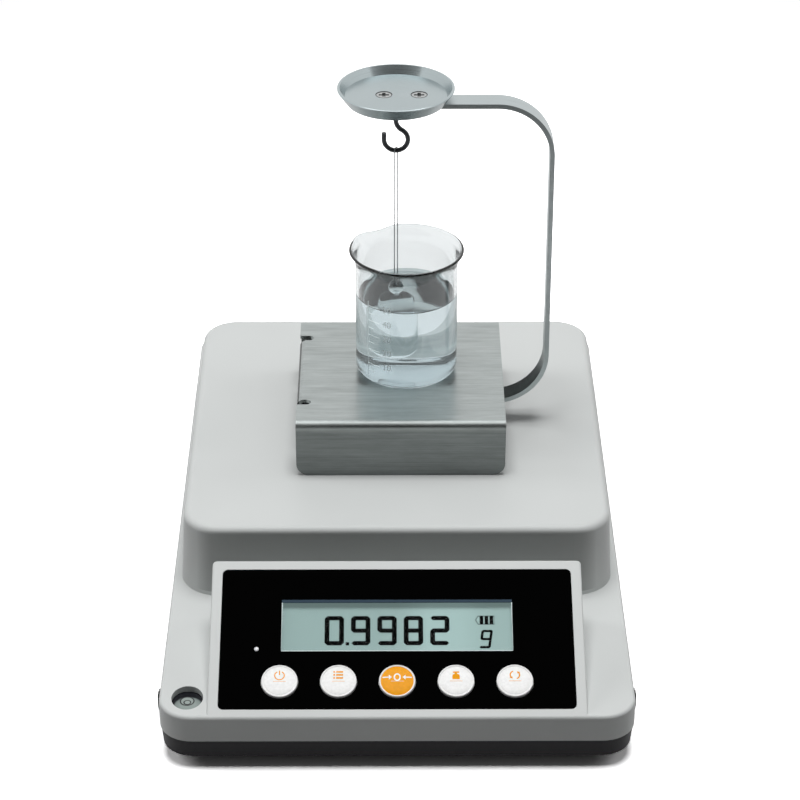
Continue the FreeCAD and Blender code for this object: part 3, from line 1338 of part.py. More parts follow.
def sinker():
    """Glass plummet with a ring eye on a short neck."""
    low = SINKER_LOW_Z
    flat = SINKER_R - SINKER_END_R
    body_edges = [
        line_edge((0, low), (flat, low)),
        arc_edge((flat, low + SINKER_END_R), SINKER_END_R, -90, 0),
        line_edge((SINKER_R, low + SINKER_END_R), (SINKER_R, SINKER_TOP_Z - SINKER_END_R)),
        arc_edge((flat, SINKER_TOP_Z - SINKER_END_R), SINKER_END_R, 0, 90),
        line_edge((flat, SINKER_TOP_Z), (0, SINKER_TOP_Z)),
        line_edge((0, SINKER_TOP_Z), (0, low))
    ]
    body = turned(body_edges, PAN_X, PAN_Y)
    eye = Part.makeTorus(EYE_R, EYE_TUBE_R, Vector(PAN_X, PAN_Y, EYE_Z), Vector(0, 1, 0))
    neck = cylinder(SINKER_NECK_R, SINKER_TOP_Z - SINKER_NECK_R, EYE_Z - EYE_R, PAN_X, PAN_Y)
    return join([body, neck, eye])


# ---- bridge and beaker ----
def bridge_fold():
    """Front flange, top and back flange of the bridge, as one folded sheet."""
    low = PLATFORM_Z
    top = BRIDGE_TOP_Z
    outer = box(BRIDGE_LEFT, BRIDGE_RIGHT, BRIDGE_FRONT, BRIDGE_BACK, low, top)
    long_edges = [
        edge for edge in level_edges(outer, top)
        if abs(edge.tangentAt(edge.FirstParameter).x) > ALIGNED
    ]
    outer = outer.makeFillet(BRIDGE_BEND_R, long_edges)
    inner = box(
        BRIDGE_LEFT - PAST, BRIDGE_RIGHT + PAST, BRIDGE_FRONT + SHEET_T, BRIDGE_BACK - SHEET_T,
        low - PAST, top - SHEET_T
    )
    long_edges = [
        edge for edge in level_edges(inner, top - SHEET_T)
        if abs(edge.tangentAt(edge.FirstParameter).x) > ALIGNED
    ]
    inner = inner.makeFillet(BRIDGE_BEND_R - SHEET_T, long_edges)
    return outer.cut(inner)


def bridge_corner_cutters():
    """Rounds the flanges' lower corners."""
    r = BRIDGE_CORNER_R
    cutters = []
    for x, side in ((BRIDGE_LEFT, 1), (BRIDGE_RIGHT, -1)):
        xs = sorted((x - side * PAST, x + side * r))
        corner = box(xs[0], xs[1], BRIDGE_FRONT - PAST, BRIDGE_BACK + PAST, PLATFORM_Z - PAST, PLATFORM_Z + r)
        start = Vector(x + side * r, BRIDGE_FRONT - 2 * PAST, PLATFORM_Z + r)
        cutters.append(corner.cut(Part.makeCylinder(r, BRIDGE_DEPTH + 4 * PAST, start, Vector(0, 1, 0))))
    return cutters


def bridge_side_flange():
    """Left flange, folded down between the two relief notches."""
    y0 = BRIDGE_Y + NOTCH_FRONT_Y + NOTCH_WIDTH / 2
    y1 = BRIDGE_Y + NOTCH_BACK_Y - NOTCH_WIDTH / 2
    mid_r = BRIDGE_BEND_R - SHEET_T / 2
    x = BRIDGE_LEFT + SHEET_T / 2
    top = BRIDGE_TOP_Z - SHEET_T / 2
    bend_x = BRIDGE_LEFT + BRIDGE_BEND_R
    bend_z = BRIDGE_TOP_Z - BRIDGE_BEND_R
    edges = [
        line_edge((bend_x + SHEET_T, top), (bend_x, top)),
        arc_edge((bend_x, bend_z), mid_r, 90, 180),
        line_edge((x, bend_z), (x, PLATFORM_Z))
    ]
    return bent_strip(edges, SHEET_T, y1 - y0, (y0 + y1) / 2)


def notch(y):
    """Relief cut at the end of the side flange, round at its inner end."""
    half = NOTCH_WIDTH / 2
    inner_x = BRIDGE_LEFT + NOTCH_LENGTH - half
    low = BRIDGE_TOP_Z - 2 * SHEET_T
    high = BRIDGE_TOP_Z + PAST
    return join([
        box(BRIDGE_LEFT - PAST, inner_x, y - half, y + half, low, high),
        cylinder(half, low, high, inner_x, y)
    ])


def beaker_bridge():
    y0 = BRIDGE_Y + NOTCH_FRONT_Y
    y1 = BRIDGE_Y + NOTCH_BACK_Y
    edge_strip = box(
        BRIDGE_LEFT - PAST, BRIDGE_LEFT + BRIDGE_BEND_R, y0, y1,
        BRIDGE_TOP_Z - 2 * SHEET_T, BRIDGE_TOP_Z + PAST
    )
    tools = [edge_strip, notch(y0), notch(y1)] + bridge_corner_cutters()
    folded = cut(bridge_fold(), tools)
    return join([folded, bridge_side_flange()])


def beaker_shell(radius, corner, floor_z, rim_z, rim_r, x, y):
    """Solid body of revolution of one of the beaker's two surfaces."""
    flare_z = BEAKER_RIM_Z - BEAKER_FLARE
    flat = radius - corner
    edges = [
        line_edge((0, floor_z), (flat, floor_z)),
        arc_edge((flat, floor_z + corner), corner, -90, 0),
        line_edge((radius, floor_z + corner), (radius, flare_z)),
        line_edge((radius, flare_z), (rim_r, rim_z - BEAKER_RIM_T)),
        line_edge((rim_r, rim_z - BEAKER_RIM_T), (rim_r, rim_z)),
        line_edge((rim_r, rim_z), (0, rim_z)),
        line_edge((0, rim_z), (0, floor_z))
    ]
    return turned(edges, x, y)


def spout_cone(inset, top_z):
    """Cone that pushes the rim out into a pouring lip."""
    angle = math.radians(SPOUT_TURN_DEG)
    x = BEAKER_CX + SPOUT_OUT * math.cos(angle)
    y = BEAKER_CY + SPOUT_OUT * math.sin(angle)
    rim_z = BEAKER_RIM_Z
    foot_z = rim_z - SPOUT_DEPTH
    slope = (SPOUT_TOP_R - SPOUT_FOOT_R) / SPOUT_DEPTH
    foot_r = SPOUT_FOOT_R - inset
    top_r = SPOUT_TOP_R - inset + slope * (top_z - rim_z)
    return Part.makeCone(foot_r, top_r, top_z - foot_z, Vector(x, y, foot_z), UP)


def beaker():
    rim_z = BEAKER_RIM_Z
    outer = beaker_shell(
        BEAKER_R, BEAKER_CORNER_R, BRIDGE_TOP_Z, rim_z, BEAKER_RIM_R, BEAKER_CX, BEAKER_CY
    )
    inner = beaker_shell(
        BEAKER_R - BEAKER_WALL, BEAKER_CORNER_R - BEAKER_WALL, BRIDGE_TOP_Z + BEAKER_FLOOR, rim_z + PAST,
        BEAKER_RIM_R - BEAKER_RIM_T, BEAKER_CX, BEAKER_CY
    )
    lip = join([outer, spout_cone(0.0, rim_z)])
    return cut(lip, [inner, spout_cone(BEAKER_WALL, rim_z + PAST)])


# ---- electronics ----
def circuit_board(width, depth, x, y, z):
    board = box(x - width / 2, x + width / 2, y - depth / 2, y + depth / 2, z, z + BOARD_T)
    tools = []
    for hole_x, hole_y in board_corners(width, depth, x, y):
        tools.append(cylinder(BOARD_SCREW_R + SCREW_GAP, z - PAST, z + BOARD_T + PAST, hole_x, hole_y))
    return cut(board, tools)


def block_on(z, x, y, size_x, size_y, height):
    """Box-shaped component standing on a board."""
    return box(x - size_x / 2, x + size_x / 2, y - size_y / 2, y + size_y / 2, z, z + height)


def can(z, x, y, radius, height):
    """Round component, such as a capacitor, standing on a board."""
    return cylinder(radius, z, z + height, x, y)


def main_board_parts():
    """Processor, converter, crystal, capacitors, buzzer and the sockets for the ribbon and the leads."""
    y = MAIN_BOARD_Y
    ribbon_y = MAIN_BOARD_FRONT + SOCKET_SETBACK + SOCKET_DEPTH / 2
    ribbon_socket = RIBBON_WIDTH + RIBBON_BEND_R
    parts = [
        block_on(BOARD_TOP, 0.0, y, PROCESSOR_SIZE, PROCESSOR_SIZE, CHIP_T),
        block_on(BOARD_TOP, 2 * PROCESSOR_SIZE, y + CAN_R, CONVERTER_SIZE, CONVERTER_SIZE, CHIP_T),
        block_on(BOARD_TOP, -1.5 * PROCESSOR_SIZE, y, CRYSTAL_SIZE, 2 * CRYSTAL_SIZE, 2 * CHIP_T),
        can(BOARD_TOP, 3.5 * PROCESSOR_SIZE, y - 2 * CAN_R, CAN_R, CAN_HEIGHT),
        can(BOARD_TOP, 3.5 * PROCESSOR_SIZE, y + CAN_R, CAN_R, CAN_HEIGHT),
        can(BOARD_TOP, -3 * PROCESSOR_SIZE, y - CAN_R, BUZZER_R, CAN_HEIGHT),
        block_on(BOARD_TOP, 0.0, ribbon_y, ribbon_socket, SOCKET_DEPTH, RIBBON_SOCKET_HEIGHT),
        block_on(BOARD_TOP, LEAD_SOCKET_X, LEAD_SOCKET_Y, SOCKET_WIDTH, SOCKET_DEPTH, SOCKET_HEIGHT),
        block_on(BOARD_TOP, -LEAD_SOCKET_X, LEAD_SOCKET_Y, SOCKET_WIDTH, SOCKET_DEPTH, SOCKET_HEIGHT)
    ]
    return Part.Compound(parts)


def power_board_parts():
    """Regulator and a smoothing capacitor, either side of the jack."""
    z = POWER_BOARD_TOP
    offset = POWER_BOARD_WIDTH / 4
    return Part.Compound([
        block_on(z, POWER_BOARD_X - offset, POWER_BOARD_Y, CONVERTER_SIZE, CRYSTAL_SIZE, SMALL_CAN_HEIGHT),
        can(z, POWER_BOARD_X + offset, POWER_BOARD_Y, CAN_R, SMALL_CAN_HEIGHT)
    ])


def power_inlet():
    """Barrel jack for the mains adapter, behind a hole in the back wall."""
    half = JACK_SIZE / 2
    along = Vector(0, 1, 0)
    body = box(
        POWER_BOARD_X - half, POWER_BOARD_X + half, JACK_BACK - JACK_LENGTH, JACK_BACK,
        POWER_BOARD_TOP, POWER_BOARD_TOP + JACK_SIZE
    )
    floor = Vector(POWER_BOARD_X, JACK_BACK - JACK_BORE_DEPTH, JACK_Z)
    bore = Part.makeCylinder(JACK_BORE_R, JACK_BORE_DEPTH + PAST, floor, along)
    root = Vector(POWER_BOARD_X, JACK_BACK - JACK_BORE_DEPTH - PAST, JACK_Z)
    pin = Part.makeCylinder(JACK_PIN_R, JACK_BORE_DEPTH, root, along)
    return join([body.cut(bore), pin])


def display_cable():
    """Flat ribbon from the display board's back, under the deck, into the main board's front socket."""
    up = (KEY_UP + WINDOW_UP) / 2
    depth = BOARD_FACE - BOARD_T
    start_y = CONSOLE_Y + up * math.cos(TILT) - depth * math.sin(TILT)
    start_z = CONSOLE_Z + up * math.sin(TILT) + depth * math.cos(TILT)
    run_z = BOARD_TOP + RIBBON_SOCKET_HEIGHT / 2
    turn_y = start_y + (start_z - run_z) * math.tan(TILT)
    points = [
        (start_y, 0.0, start_z),
        (turn_y, 0.0, run_z),
        (MAIN_BOARD_FRONT + SOCKET_SETBACK, 0.0, run_z)
    ]
    ribbon = bent_strip(bent_path(points, RIBBON_BEND_R).Edges, RIBBON_T, RIBBON_WIDTH, 0.0)
    ribbon.rotate(Vector(0, 0, 0), UP, 90)
    return ribbon


def load_cell_cable():
    """Lead from the load cell's fixed end, beside the cell, to the main board."""
    side_x = PAN_X + CELL_WIDTH / 2
    run_x = side_x + 2 * LEAD_BEND_R
    run_z = (CELL_Z + CELL_TOP) / 2
    start_y = CELL_BACK_Y - LEAD_BEND_R
    points = [
        (side_x, start_y, run_z),
        (run_x, start_y, run_z),
        (run_x, PLATE_Y, run_z),
        (LEAD_SOCKET_X, LEAD_SOCKET_Y, run_z),
        (LEAD_SOCKET_X, LEAD_SOCKET_Y, BOARD_TOP + SOCKET_HEIGHT)
    ]
    return round_bar(bent_path(points, LEAD_LIMP_R), LEAD_R)


def battery_leads():
    """Lead from the battery's top, over the bay wall, to the main board."""
    top = COVER_TOP + BATTERY_HEIGHT
    start_y = BATTERY_Y - BATTERY_LENGTH / 2 + 2 * LEAD_BEND_R
    run_z = top + 2 * LEAD_BEND_R
    points = [
        (BATTERY_X, start_y, top),
        (BATTERY_X, start_y, run_z),
        (-LEAD_SOCKET_X, LEAD_SOCKET_Y, run_z),
        (-LEAD_SOCKET_X, LEAD_SOCKET_Y, BOARD_TOP + SOCKET_HEIGHT)
    ]
    return round_bar(bent_path(points, LEAD_BEND_R), LEAD_R)


# ---- the nodes ----
def all_nodes():
    main_places = board_corners(MAIN_BOARD_WIDTH, MAIN_BOARD_DEPTH, 0.0, MAIN_BOARD_Y)
    power_places = board_corners(POWER_BOARD_WIDTH, POWER_BOARD_DEPTH, POWER_BOARD_X, POWER_BOARD_Y)
    screws = board_screws(main_places, BOARD_TOP) + board_screws(power_places, POWER_BOARD_TOP)
    nodes = {
        "upper_case": upper_case(),
        "lower_case": lower_case(),
        "case_screws": case_screws(),
        "battery": battery(),
        "battery_cover": battery_cover(),
        "battery_cover_screws": battery_cover_screws(),
        "foot_inserts": foot_inserts(),
        "level_vial": level_vial(),
        "level_cap": level_cap(),
        "display_panel": display_panel(),
        "display_window": display_window(),
        "lcd": lcd(),
        "lcd_holder": lcd_holder(),
        "power_led": power_led(),
        "key_switches": key_switches(),
        "display_board": display_board(),
        "display_board_screws": display_board_screws(),
        "main_board": circuit_board(MAIN_BOARD_WIDTH, MAIN_BOARD_DEPTH, 0.0, MAIN_BOARD_Y, BOARD_Z),
        "main_board_parts": main_board_parts(),
        "power_board": circuit_board(
            POWER_BOARD_WIDTH, POWER_BOARD_DEPTH, POWER_BOARD_X, POWER_BOARD_Y, POWER_BOARD_Z
        ),
        "power_board_parts": power_board_parts(),
        "power_inlet": power_inlet(),
        "board_screws": Part.Compound(screws),
        "display_cable": display_cable(),
        "load_cell_cable": load_cell_cable(),
        "battery_leads": battery_leads(),
        "base_plate": base_plate(),
        "base_plate_screws": base_plate_screws(),
        "load_cell_spacer": load_cell_spacer(),
        "load_cell": load_cell(),
        "load_cell_screws": load_cell_screws(),
        "overload_stop": overload_stop(),
        "pan_support": pan_support(),
        "pan_support_screws": pan_support_screws(),
        "arm_screws": arm_screws(),
        "hanger_arm": hanger_arm(),
        "weighing_tray": weighing_tray(),
        "tray_screws": tray_screws(),
        "sinker_hook": sinker_hook(),
        "hook_nut": hook_nut(),
        "sinker_wire": sinker_wire(),
        "sinker": sinker(),
        "beaker_bridge": beaker_bridge(),
        "beaker": beaker()
    }
    for index, name in enumerate(KEY_NAMES):
        nodes[name] = key(index)
    for corner, (x, y) in foot_places().items():
        nodes["foot_pad_" + corner] = foot_pad(x, y)
        nodes["foot_wheel_" + corner] = foot_wheel(x, y)
    return nodes


def main():
    os.makedirs("parts", exist_ok=True)
    for name, shape in all_nodes().items():
        shape.exportStep("parts/" + name + ".step")


main()
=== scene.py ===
"""Benchtop density meter: finishes, glass, display and studio around the packed frame."""

import math

import bmesh
import bpy
from bpy.props import FloatProperty, FloatVectorProperty, IntProperty, PointerProperty, StringProperty
from mathutils import Euler, Matrix, Vector


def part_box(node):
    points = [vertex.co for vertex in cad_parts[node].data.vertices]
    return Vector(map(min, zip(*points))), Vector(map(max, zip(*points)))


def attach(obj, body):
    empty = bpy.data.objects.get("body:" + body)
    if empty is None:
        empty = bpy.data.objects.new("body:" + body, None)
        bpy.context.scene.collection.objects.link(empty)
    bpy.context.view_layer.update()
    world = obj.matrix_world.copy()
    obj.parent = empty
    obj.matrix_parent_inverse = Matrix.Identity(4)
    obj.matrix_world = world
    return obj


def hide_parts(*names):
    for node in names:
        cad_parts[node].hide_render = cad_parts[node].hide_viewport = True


bl_info = {
    "name": "Benchtop Density Meter",
    "version": (1, 0, 0),
    "blender": (4, 5, 0),
    "location": "3D View > Sidebar > Density Meter",
    "description": "Finishes, glass, display and studio for a benchtop density meter",
    "category": "Object",
}

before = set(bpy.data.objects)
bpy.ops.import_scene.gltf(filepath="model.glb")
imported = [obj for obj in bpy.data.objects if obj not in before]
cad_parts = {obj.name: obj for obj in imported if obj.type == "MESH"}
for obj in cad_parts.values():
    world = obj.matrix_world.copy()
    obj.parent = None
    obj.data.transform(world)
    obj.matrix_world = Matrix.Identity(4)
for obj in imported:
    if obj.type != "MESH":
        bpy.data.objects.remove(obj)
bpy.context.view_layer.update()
MM = 0.001


# ---- colours and nodes ----
def srgb(text):
    """The linear colour of an sRGB hex value."""
    channels = [int(text[place:place + 2], 16) / 255 for place in (0, 2, 4)]
    linear = [c / 12.92 if c <= 0.04045 else ((c + 0.055) / 1.055) ** 2.4 for c in channels]
    return (*linear, 1.0)


def shaded(colour, factor):
    """A colour made lighter or darker."""
    return (*[channel * factor for channel in colour[:3]], 1.0)


def feed(node, name, value):
    """Gives a node's input a value or another node's output. A node stands for its own first output."""
    source = value.outputs[0] if isinstance(value, bpy.types.Node) else value
    if isinstance(source, bpy.types.NodeSocket):
        node.id_data.links.new(source, node.inputs[name])
    else:
        node.inputs[name].default_value = source


def add(tree, kind, inputs=None, **settings):
    """Adds a node with its settings and inputs."""
    made = tree.nodes.new(kind)
    for name, value in settings.items():
        setattr(made, name, value)
    for name, value in (inputs or {}).items():
        feed(made, name, value)
    return made


def object_axes(tree):
    """The X, Y and Z of a point on its object."""
    place = add(tree, "ShaderNodeTexCoord")
    return add(tree, "ShaderNodeSeparateXYZ", {0: place.outputs["Object"]}).outputs


def facing(tree):
    """The X, Y and Z of the way that a point's surface faces."""
    surface = add(tree, "ShaderNodeNewGeometry")
    return add(tree, "ShaderNodeSeparateXYZ", {0: surface.outputs["Normal"]}).outputs


def start_material(name, values):
    """A material with one Principled shader. Values set its own sockets."""
    made = bpy.data.materials.new(name)
    made.use_nodes = True
    tree = made.node_tree
    shader = tree.nodes["Principled BSDF"]
    for socket, value in values.items():
        feed(shader, socket, value)
    return made, tree, shader


def ramp(tree, factor, stops):
    """A colour ramp through (place, colour) stops."""
    made = add(tree, "ShaderNodeValToRGB", {"Fac": factor})
    row = made.color_ramp.elements
    while len(row) < len(stops):
        row.new(0.5)
    for element, (place, colour) in zip(row, stops):
        element.position = place
        element.color = colour
    return made


def object_noise(tree, cycles, detail=2.0, roughness=0.5):
    """Noise on Object coordinates. Cycles are per metre, along X, Y and Z or the same along all three."""
    stretch = cycles if isinstance(cycles, tuple) else (cycles, cycles, cycles)
    place = add(tree, "ShaderNodeTexCoord").outputs["Object"]
    mapped = add(tree, "ShaderNodeMapping", {"Vector": place, "Scale": stretch})
    return add(tree, "ShaderNodeTexNoise", {
        "Vector": mapped, "Scale": 1.0, "Detail": detail, "Roughness": roughness})


def mottle(tree, shader, noise, colour, dark, light, low=0.3, high=0.7):
    """Colours the shader from the darker to the lighter shade, as the noise runs from low to high."""
    tone = ramp(tree, noise, [(low, shaded(colour, dark)), (high, shaded(colour, light))])
    feed(shader, "Base Color", tone)


def uneven_gloss(tree, shader, noise, low, high):
    """Lets the shader's roughness follow a noise."""
    gloss = add(tree, "ShaderNodeMapRange", {"Value": noise, "To Min": low, "To Max": high})
    feed(shader, "Roughness", gloss)


def toned(made, factor, mask=None):
    """Multiplies a material's base colour by a factor, if there is a mask only as far as that is 1."""
    tree = made.node_tree
    shader = tree.nodes["Principled BSDF"]
    face = shader.inputs["Base Color"].links[0].from_socket
    if mask is not None:
        factor = add(tree, "ShaderNodeMix", {0: mask, 2: 1.0, 3: factor})
    dull = add(tree, "ShaderNodeVectorMath", {0: face, "Scale": factor}, operation="SCALE")
    feed(shader, "Base Color", dull)
    return made


def height_tone(tree, stops):
    """A factor that follows the height above the bench, through (height in mm, factor) stops."""
    low, high = stops[0][0], stops[-1][0]
    up = add(tree, "ShaderNodeMapRange", {
        "Value": object_axes(tree)["Z"], "From Min": low * MM, "From Max": high * MM})
    return ramp(tree, up, [((height - low) / (high - low), (factor, factor, factor, 1.0))
                           for height, factor in stops])


# ---- materials ----
# cycles per metre of moulded plastic's cloudy colour, and of the fine mottle on small plastic and metal parts
CLOUDS = 14.0
MOTTLES = 900.0
METAL_MOTTLES = 1500.0
# metres between the lathe's rings
RING_PITCH = 0.35 * MM


def moulded_plastic(name, colour, roughness, grain, gloss):
    """Injection-moulded ABS: a fine spark-eroded grain with a satin sheen, and cloudy colour a percent or two
    apart. The grain is drawn about twice as coarse as the real one, so that it shows."""
    made, tree, shader = start_material(name, {"IOR": 1.53, "Specular IOR Level": gloss})
    mottle(tree, shader, object_noise(tree, CLOUDS), colour, 0.97, 1.02)
    fine = object_noise(tree, 1 / grain, 3.0, 0.6)
    uneven_gloss(tree, shader, fine, roughness - 0.06, roughness + 0.06)
    feed(shader, "Normal", add(tree, "ShaderNodeBump", {"Height": fine, "Distance": 0.012 * MM}))
    return made


def plain_moulding(name, colour, roughness, ior=1.5, values=None):
    """Small moulded or rubber part: one colour with a soft mottle in its gloss."""
    made, tree, shader = start_material(name, {"IOR": ior, **(values or {})})
    fine = object_noise(tree, MOTTLES)
    mottle(tree, shader, fine, colour, 0.94, 1.04)
    uneven_gloss(tree, shader, fine, roughness - 0.05, roughness + 0.05)
    return made


def printed(name, colour, roughness, gloss):
    """Ink or another thin layer of little gloss."""
    return plain_moulding(name, colour, roughness, 1.5, {"Specular IOR Level": gloss})


def brushed_metal(name, colour, lines, contrast, anisotropy):
    """Brushed stainless steel: hair lines, drawn about 0.35 mm apart so that they show, which stretch every
    reflection across them. Lines is their number per metre along X, Y and Z."""
    made, tree, shader = start_material(name, {"Metallic": 1.0, "Anisotropic": anisotropy})
    broad = object_noise(tree, (45.0, 330.0, 330.0), 4.0, 0.7)
    fine = object_noise(tree, lines, 3.0, 0.7)
    both = add(tree, "ShaderNodeMath", {0: fine, 1: broad}, operation="ADD")
    half = add(tree, "ShaderNodeMath", {0: both, 1: 0.5}, operation="MULTIPLY")
    mottle(tree, shader, half, colour, 1 - contrast, 1 + contrast, 0.32, 0.68)
    uneven_gloss(tree, shader, fine, 0.23, 0.39)
    feed(shader, "Tangent", add(tree, "ShaderNodeCombineXYZ", {"Y": 1.0}))
    feed(shader, "Normal", add(tree, "ShaderNodeBump", {"Height": fine, "Distance": 0.004 * MM}))
    return made


def painted_edge_shade(made, middle_y, reach, stops):
    """Painted shade and painted light on the cut edges of a flat bar: their tone follows the height through
    the stops.
    """
    tree = made.node_tree
    beside = add(tree, "ShaderNodeMath", {0: object_axes(tree)["Y"], 1: middle_y}, operation="SUBTRACT")
    off = add(tree, "ShaderNodeMath", {0: beside}, operation="ABSOLUTE")
    edge = add(tree, "ShaderNodeMath", {0: off, 1: reach}, operation="GREATER_THAN")
    return toned(made, height_tone(tree, stops), edge)


def painted_wall_shade(made, foot, factor):
    """Darkens the front walls above a height with painted shade: the platform's front wall."""
    tree = made.node_tree
    front = add(tree, "ShaderNodeMapRange", {"Value": facing(tree)["Y"], "From Min": -0.8, "From Max": -0.98})
    above = add(tree, "ShaderNodeMath", {0: object_axes(tree)["Z"], 1: foot}, operation="GREATER_THAN")
    both = add(tree, "ShaderNodeMath", {0: front, 1: above}, operation="MULTIPLY")
    return toned(made, factor, both)


def painted_underside_shade(made, factor):
    """Darkens the faces that look down with painted shade."""
    tree = made.node_tree
    return toned(made, add(tree, "ShaderNodeMapRange", {
        "Value": facing(tree)["Z"], "From Min": -0.3, "From Max": -0.1, "To Min": factor}))


def turned_metal(name, colour, centre):
    """Lathe-turned aluminium: fine rings about an upright axis, which gather the light in bright sectors."""
    made, tree, shader = start_material(name, {"Metallic": 1.0, "Anisotropic": 0.85})
    place = add(tree, "ShaderNodeTexCoord").outputs["Object"]
    from_axis = add(tree, "ShaderNodeVectorMath", {0: place, 1: centre}, operation="SUBTRACT")
    level = add(tree, "ShaderNodeVectorMath", {0: from_axis, 1: (1.0, 1.0, 0.0)}, operation="MULTIPLY")
    feed(shader, "Tangent", add(tree, "ShaderNodeVectorMath", {0: level}, operation="NORMALIZE"))
    far = add(tree, "ShaderNodeVectorMath", {0: level}, operation="LENGTH").outputs["Value"]
    rings = add(tree, "ShaderNodeTexNoise", {"W": far, "Scale": 1 / RING_PITCH, "Detail": 2.0},
                noise_dimensions="1D")
    mottle(tree, shader, rings, colour, 0.95, 1.05)
    uneven_gloss(tree, shader, rings, 0.18, 0.3)
    feed(shader, "Normal", add(tree, "ShaderNodeBump", {"Height": rings, "Distance": 0.001 * MM}))
    return made


def plain_metal(name, colour, roughness):
    """Plated or drawn metal: even, with a light mottle in its gloss."""
    made, tree, shader = start_material(name, {"Metallic": 1.0, "Base Color": colour})
    uneven_gloss(tree, shader, object_noise(tree, METAL_MOTTLES), roughness - 0.06, roughness + 0.06)
    return made


def clear_glass(name, colour, ior, roughness=0.0):
    """Clear glass or liquid: it refracts, and lets light through to what stands behind it. A coated window
    has the low index of its coating, which takes the mirror image away."""
    made, tree, shader = start_material(
        name, {"Base Color": colour, "IOR": ior, "Roughness": roughness, "Transmission Weight": 1.0})
    path = add(tree, "ShaderNodeLightPath")
    shadow = add(tree, "ShaderNodeBsdfTransparent", {"Color": shaded(colour, 0.96)})
    whole = add(tree, "ShaderNodeMixShader", {0: path.outputs["Is Shadow Ray"], 1: shader, 2: shadow})
    feed(tree.nodes["Material Output"], "Surface", whole)
    return made


def etched_glass():
    """Etched glass: pale grey, partly clear, and lit from both of its sides."""
    made = bpy.data.materials.new("etched_glass")
    made.use_nodes = True
    tree = made.node_tree
    tree.nodes.remove(tree.nodes["Principled BSDF"])
    grey = srgb("DADFDF")
    front = add(tree, "ShaderNodeBsdfDiffuse", {"Color": grey})
    back = add(tree, "ShaderNodeBsdfTranslucent", {"Color": grey})
    white = add(tree, "ShaderNodeAddShader", {0: front, 1: back})
    clear = add(tree, "ShaderNodeBsdfTransparent")
    whole = add(tree, "ShaderNodeMixShader", {0: 0.68, 1: clear, 2: white})
    feed(tree.nodes["Material Output"], "Surface", whole)
    return made


# ---- meshes ----
def finish_piece(name, shape, material, body, replaced=(), sharp_deg=35.0):
    """Puts a finished mesh or bmesh in the scene, riding on its body."""
    mesh = to_mesh(shape, name) if isinstance(shape, bmesh.types.BMesh) else shape
    obj = bpy.data.objects.new(name, mesh)
    bpy.context.scene.collection.objects.link(obj)
    for one in (material if isinstance(material, list) else [material]):
        mesh.materials.append(one)
    for face in mesh.polygons:
        face.use_smooth = True
    mesh.set_sharp_from_angle(angle=math.radians(sharp_deg))
    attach(obj, body)
    if replaced:
        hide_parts(*replaced)


def to_mesh(bm, name):
    """Closes a bmesh into a mesh, with doubles merged and faces outwards."""
    bmesh.ops.remove_doubles(bm, verts=bm.verts, dist=0.002 * MM)
    bmesh.ops.recalc_face_normals(bm, faces=bm.faces)
    mesh = bpy.data.meshes.new(name)
    bm.to_mesh(mesh)
    bm.free()
    return mesh


def lathe(profile, place, steps=96, close=False, bm=None):
    """Turns (radius, height) points about an axis. place(radius, angle, height) gives a point in space. Gives
    back the bmesh and each face with the number of its run in the profile."""
    bm = bm or bmesh.new()
    rings = []
    for radius, height in profile:
        on_axis = radius < 1e-6
        places = [place(0.0, 0.0, height)] if on_axis else [
            place(radius, 2 * math.pi * step / steps, height) for step in range(steps)]
        rings.append([bm.verts.new(point) for point in places])
    pairs = list(zip(rings, rings[1:]))
    if close:
        pairs.append((rings[-1], rings[0]))
    made = []
    for index, (low, high) in enumerate(pairs):
        if len(low) == 1 and len(high) == 1:
            continue
        for step in range(steps):
            after = (step + 1) % steps
            if len(low) == 1:
                corners = (low[0], high[after], high[step])
            elif len(high) == 1:
                corners = (low[step], low[after], high[0])
            else:
                corners = (low[step], low[after], high[after], high[step])
            made.append((index, bm.faces.new(corners)))
    return bm, made


def about(x, y):
    """Puts (radius, angle, height) in millimetres round an upright axis."""
    def place(radius, turn, height):
        return Vector((x + radius * math.cos(turn), y + radius * math.sin(turn), height)) * MM
    return place


def arc_points(cx, cy, radius, start_deg, end_deg, count):
    """Points along an arc, both ends included."""
    found = []
    for step in range(count + 1):
        turn = math.radians(start_deg + (end_deg - start_deg) * step / count)
        found.append((cx + radius * math.cos(turn), cy + radius * math.sin(turn)))
    return found


def ribbon(points, width, closed=False):
    """Left and right edges of a line of constant width."""
    left, right = [], []
    last = len(points) - 1
    for index, (x, y) in enumerate(points):
        before = points[index - 1] if (index > 0 or closed) else points[index]
        after = points[(index + 1) % len(points)] if (index < last or closed) else points[index]
        along = Vector((after[0] - before[0], after[1] - before[1])).normalized()
        side = Vector((-along.y, along.x)) * (width / 2)
        left.append((x + side.x, y + side.y))
        right.append((x - side.x, y - side.y))
    return left, right


def strip(bm, left, right, top, bottom, closed=False):
    """Closed thin solid between two edges. top and bottom put a 2-D point in space."""
    rows = []
    for a, b in zip(left, right):
        rows.append([bm.verts.new(place) for place in (top(*a), top(*b), bottom(*b), bottom(*a))])
    turns = list(zip(rows, rows[1:]))
    if closed:
        turns.append((rows[-1], rows[0]))
    for one, other in turns:
        for corner in range(4):
            after = (corner + 1) % 4
            bm.faces.new((one[corner], one[after], other[after], other[corner]))
    if not closed:
        bm.faces.new(rows[0])
        bm.faces.new(rows[-1][::-1])


def block(bm, x0, x1, y0, y1, top, bottom):
    """Closed thin rectangle."""
    strip(bm, [(x0, y0), (x0, y1)], [(x1, y0), (x1, y1)], top, bottom)


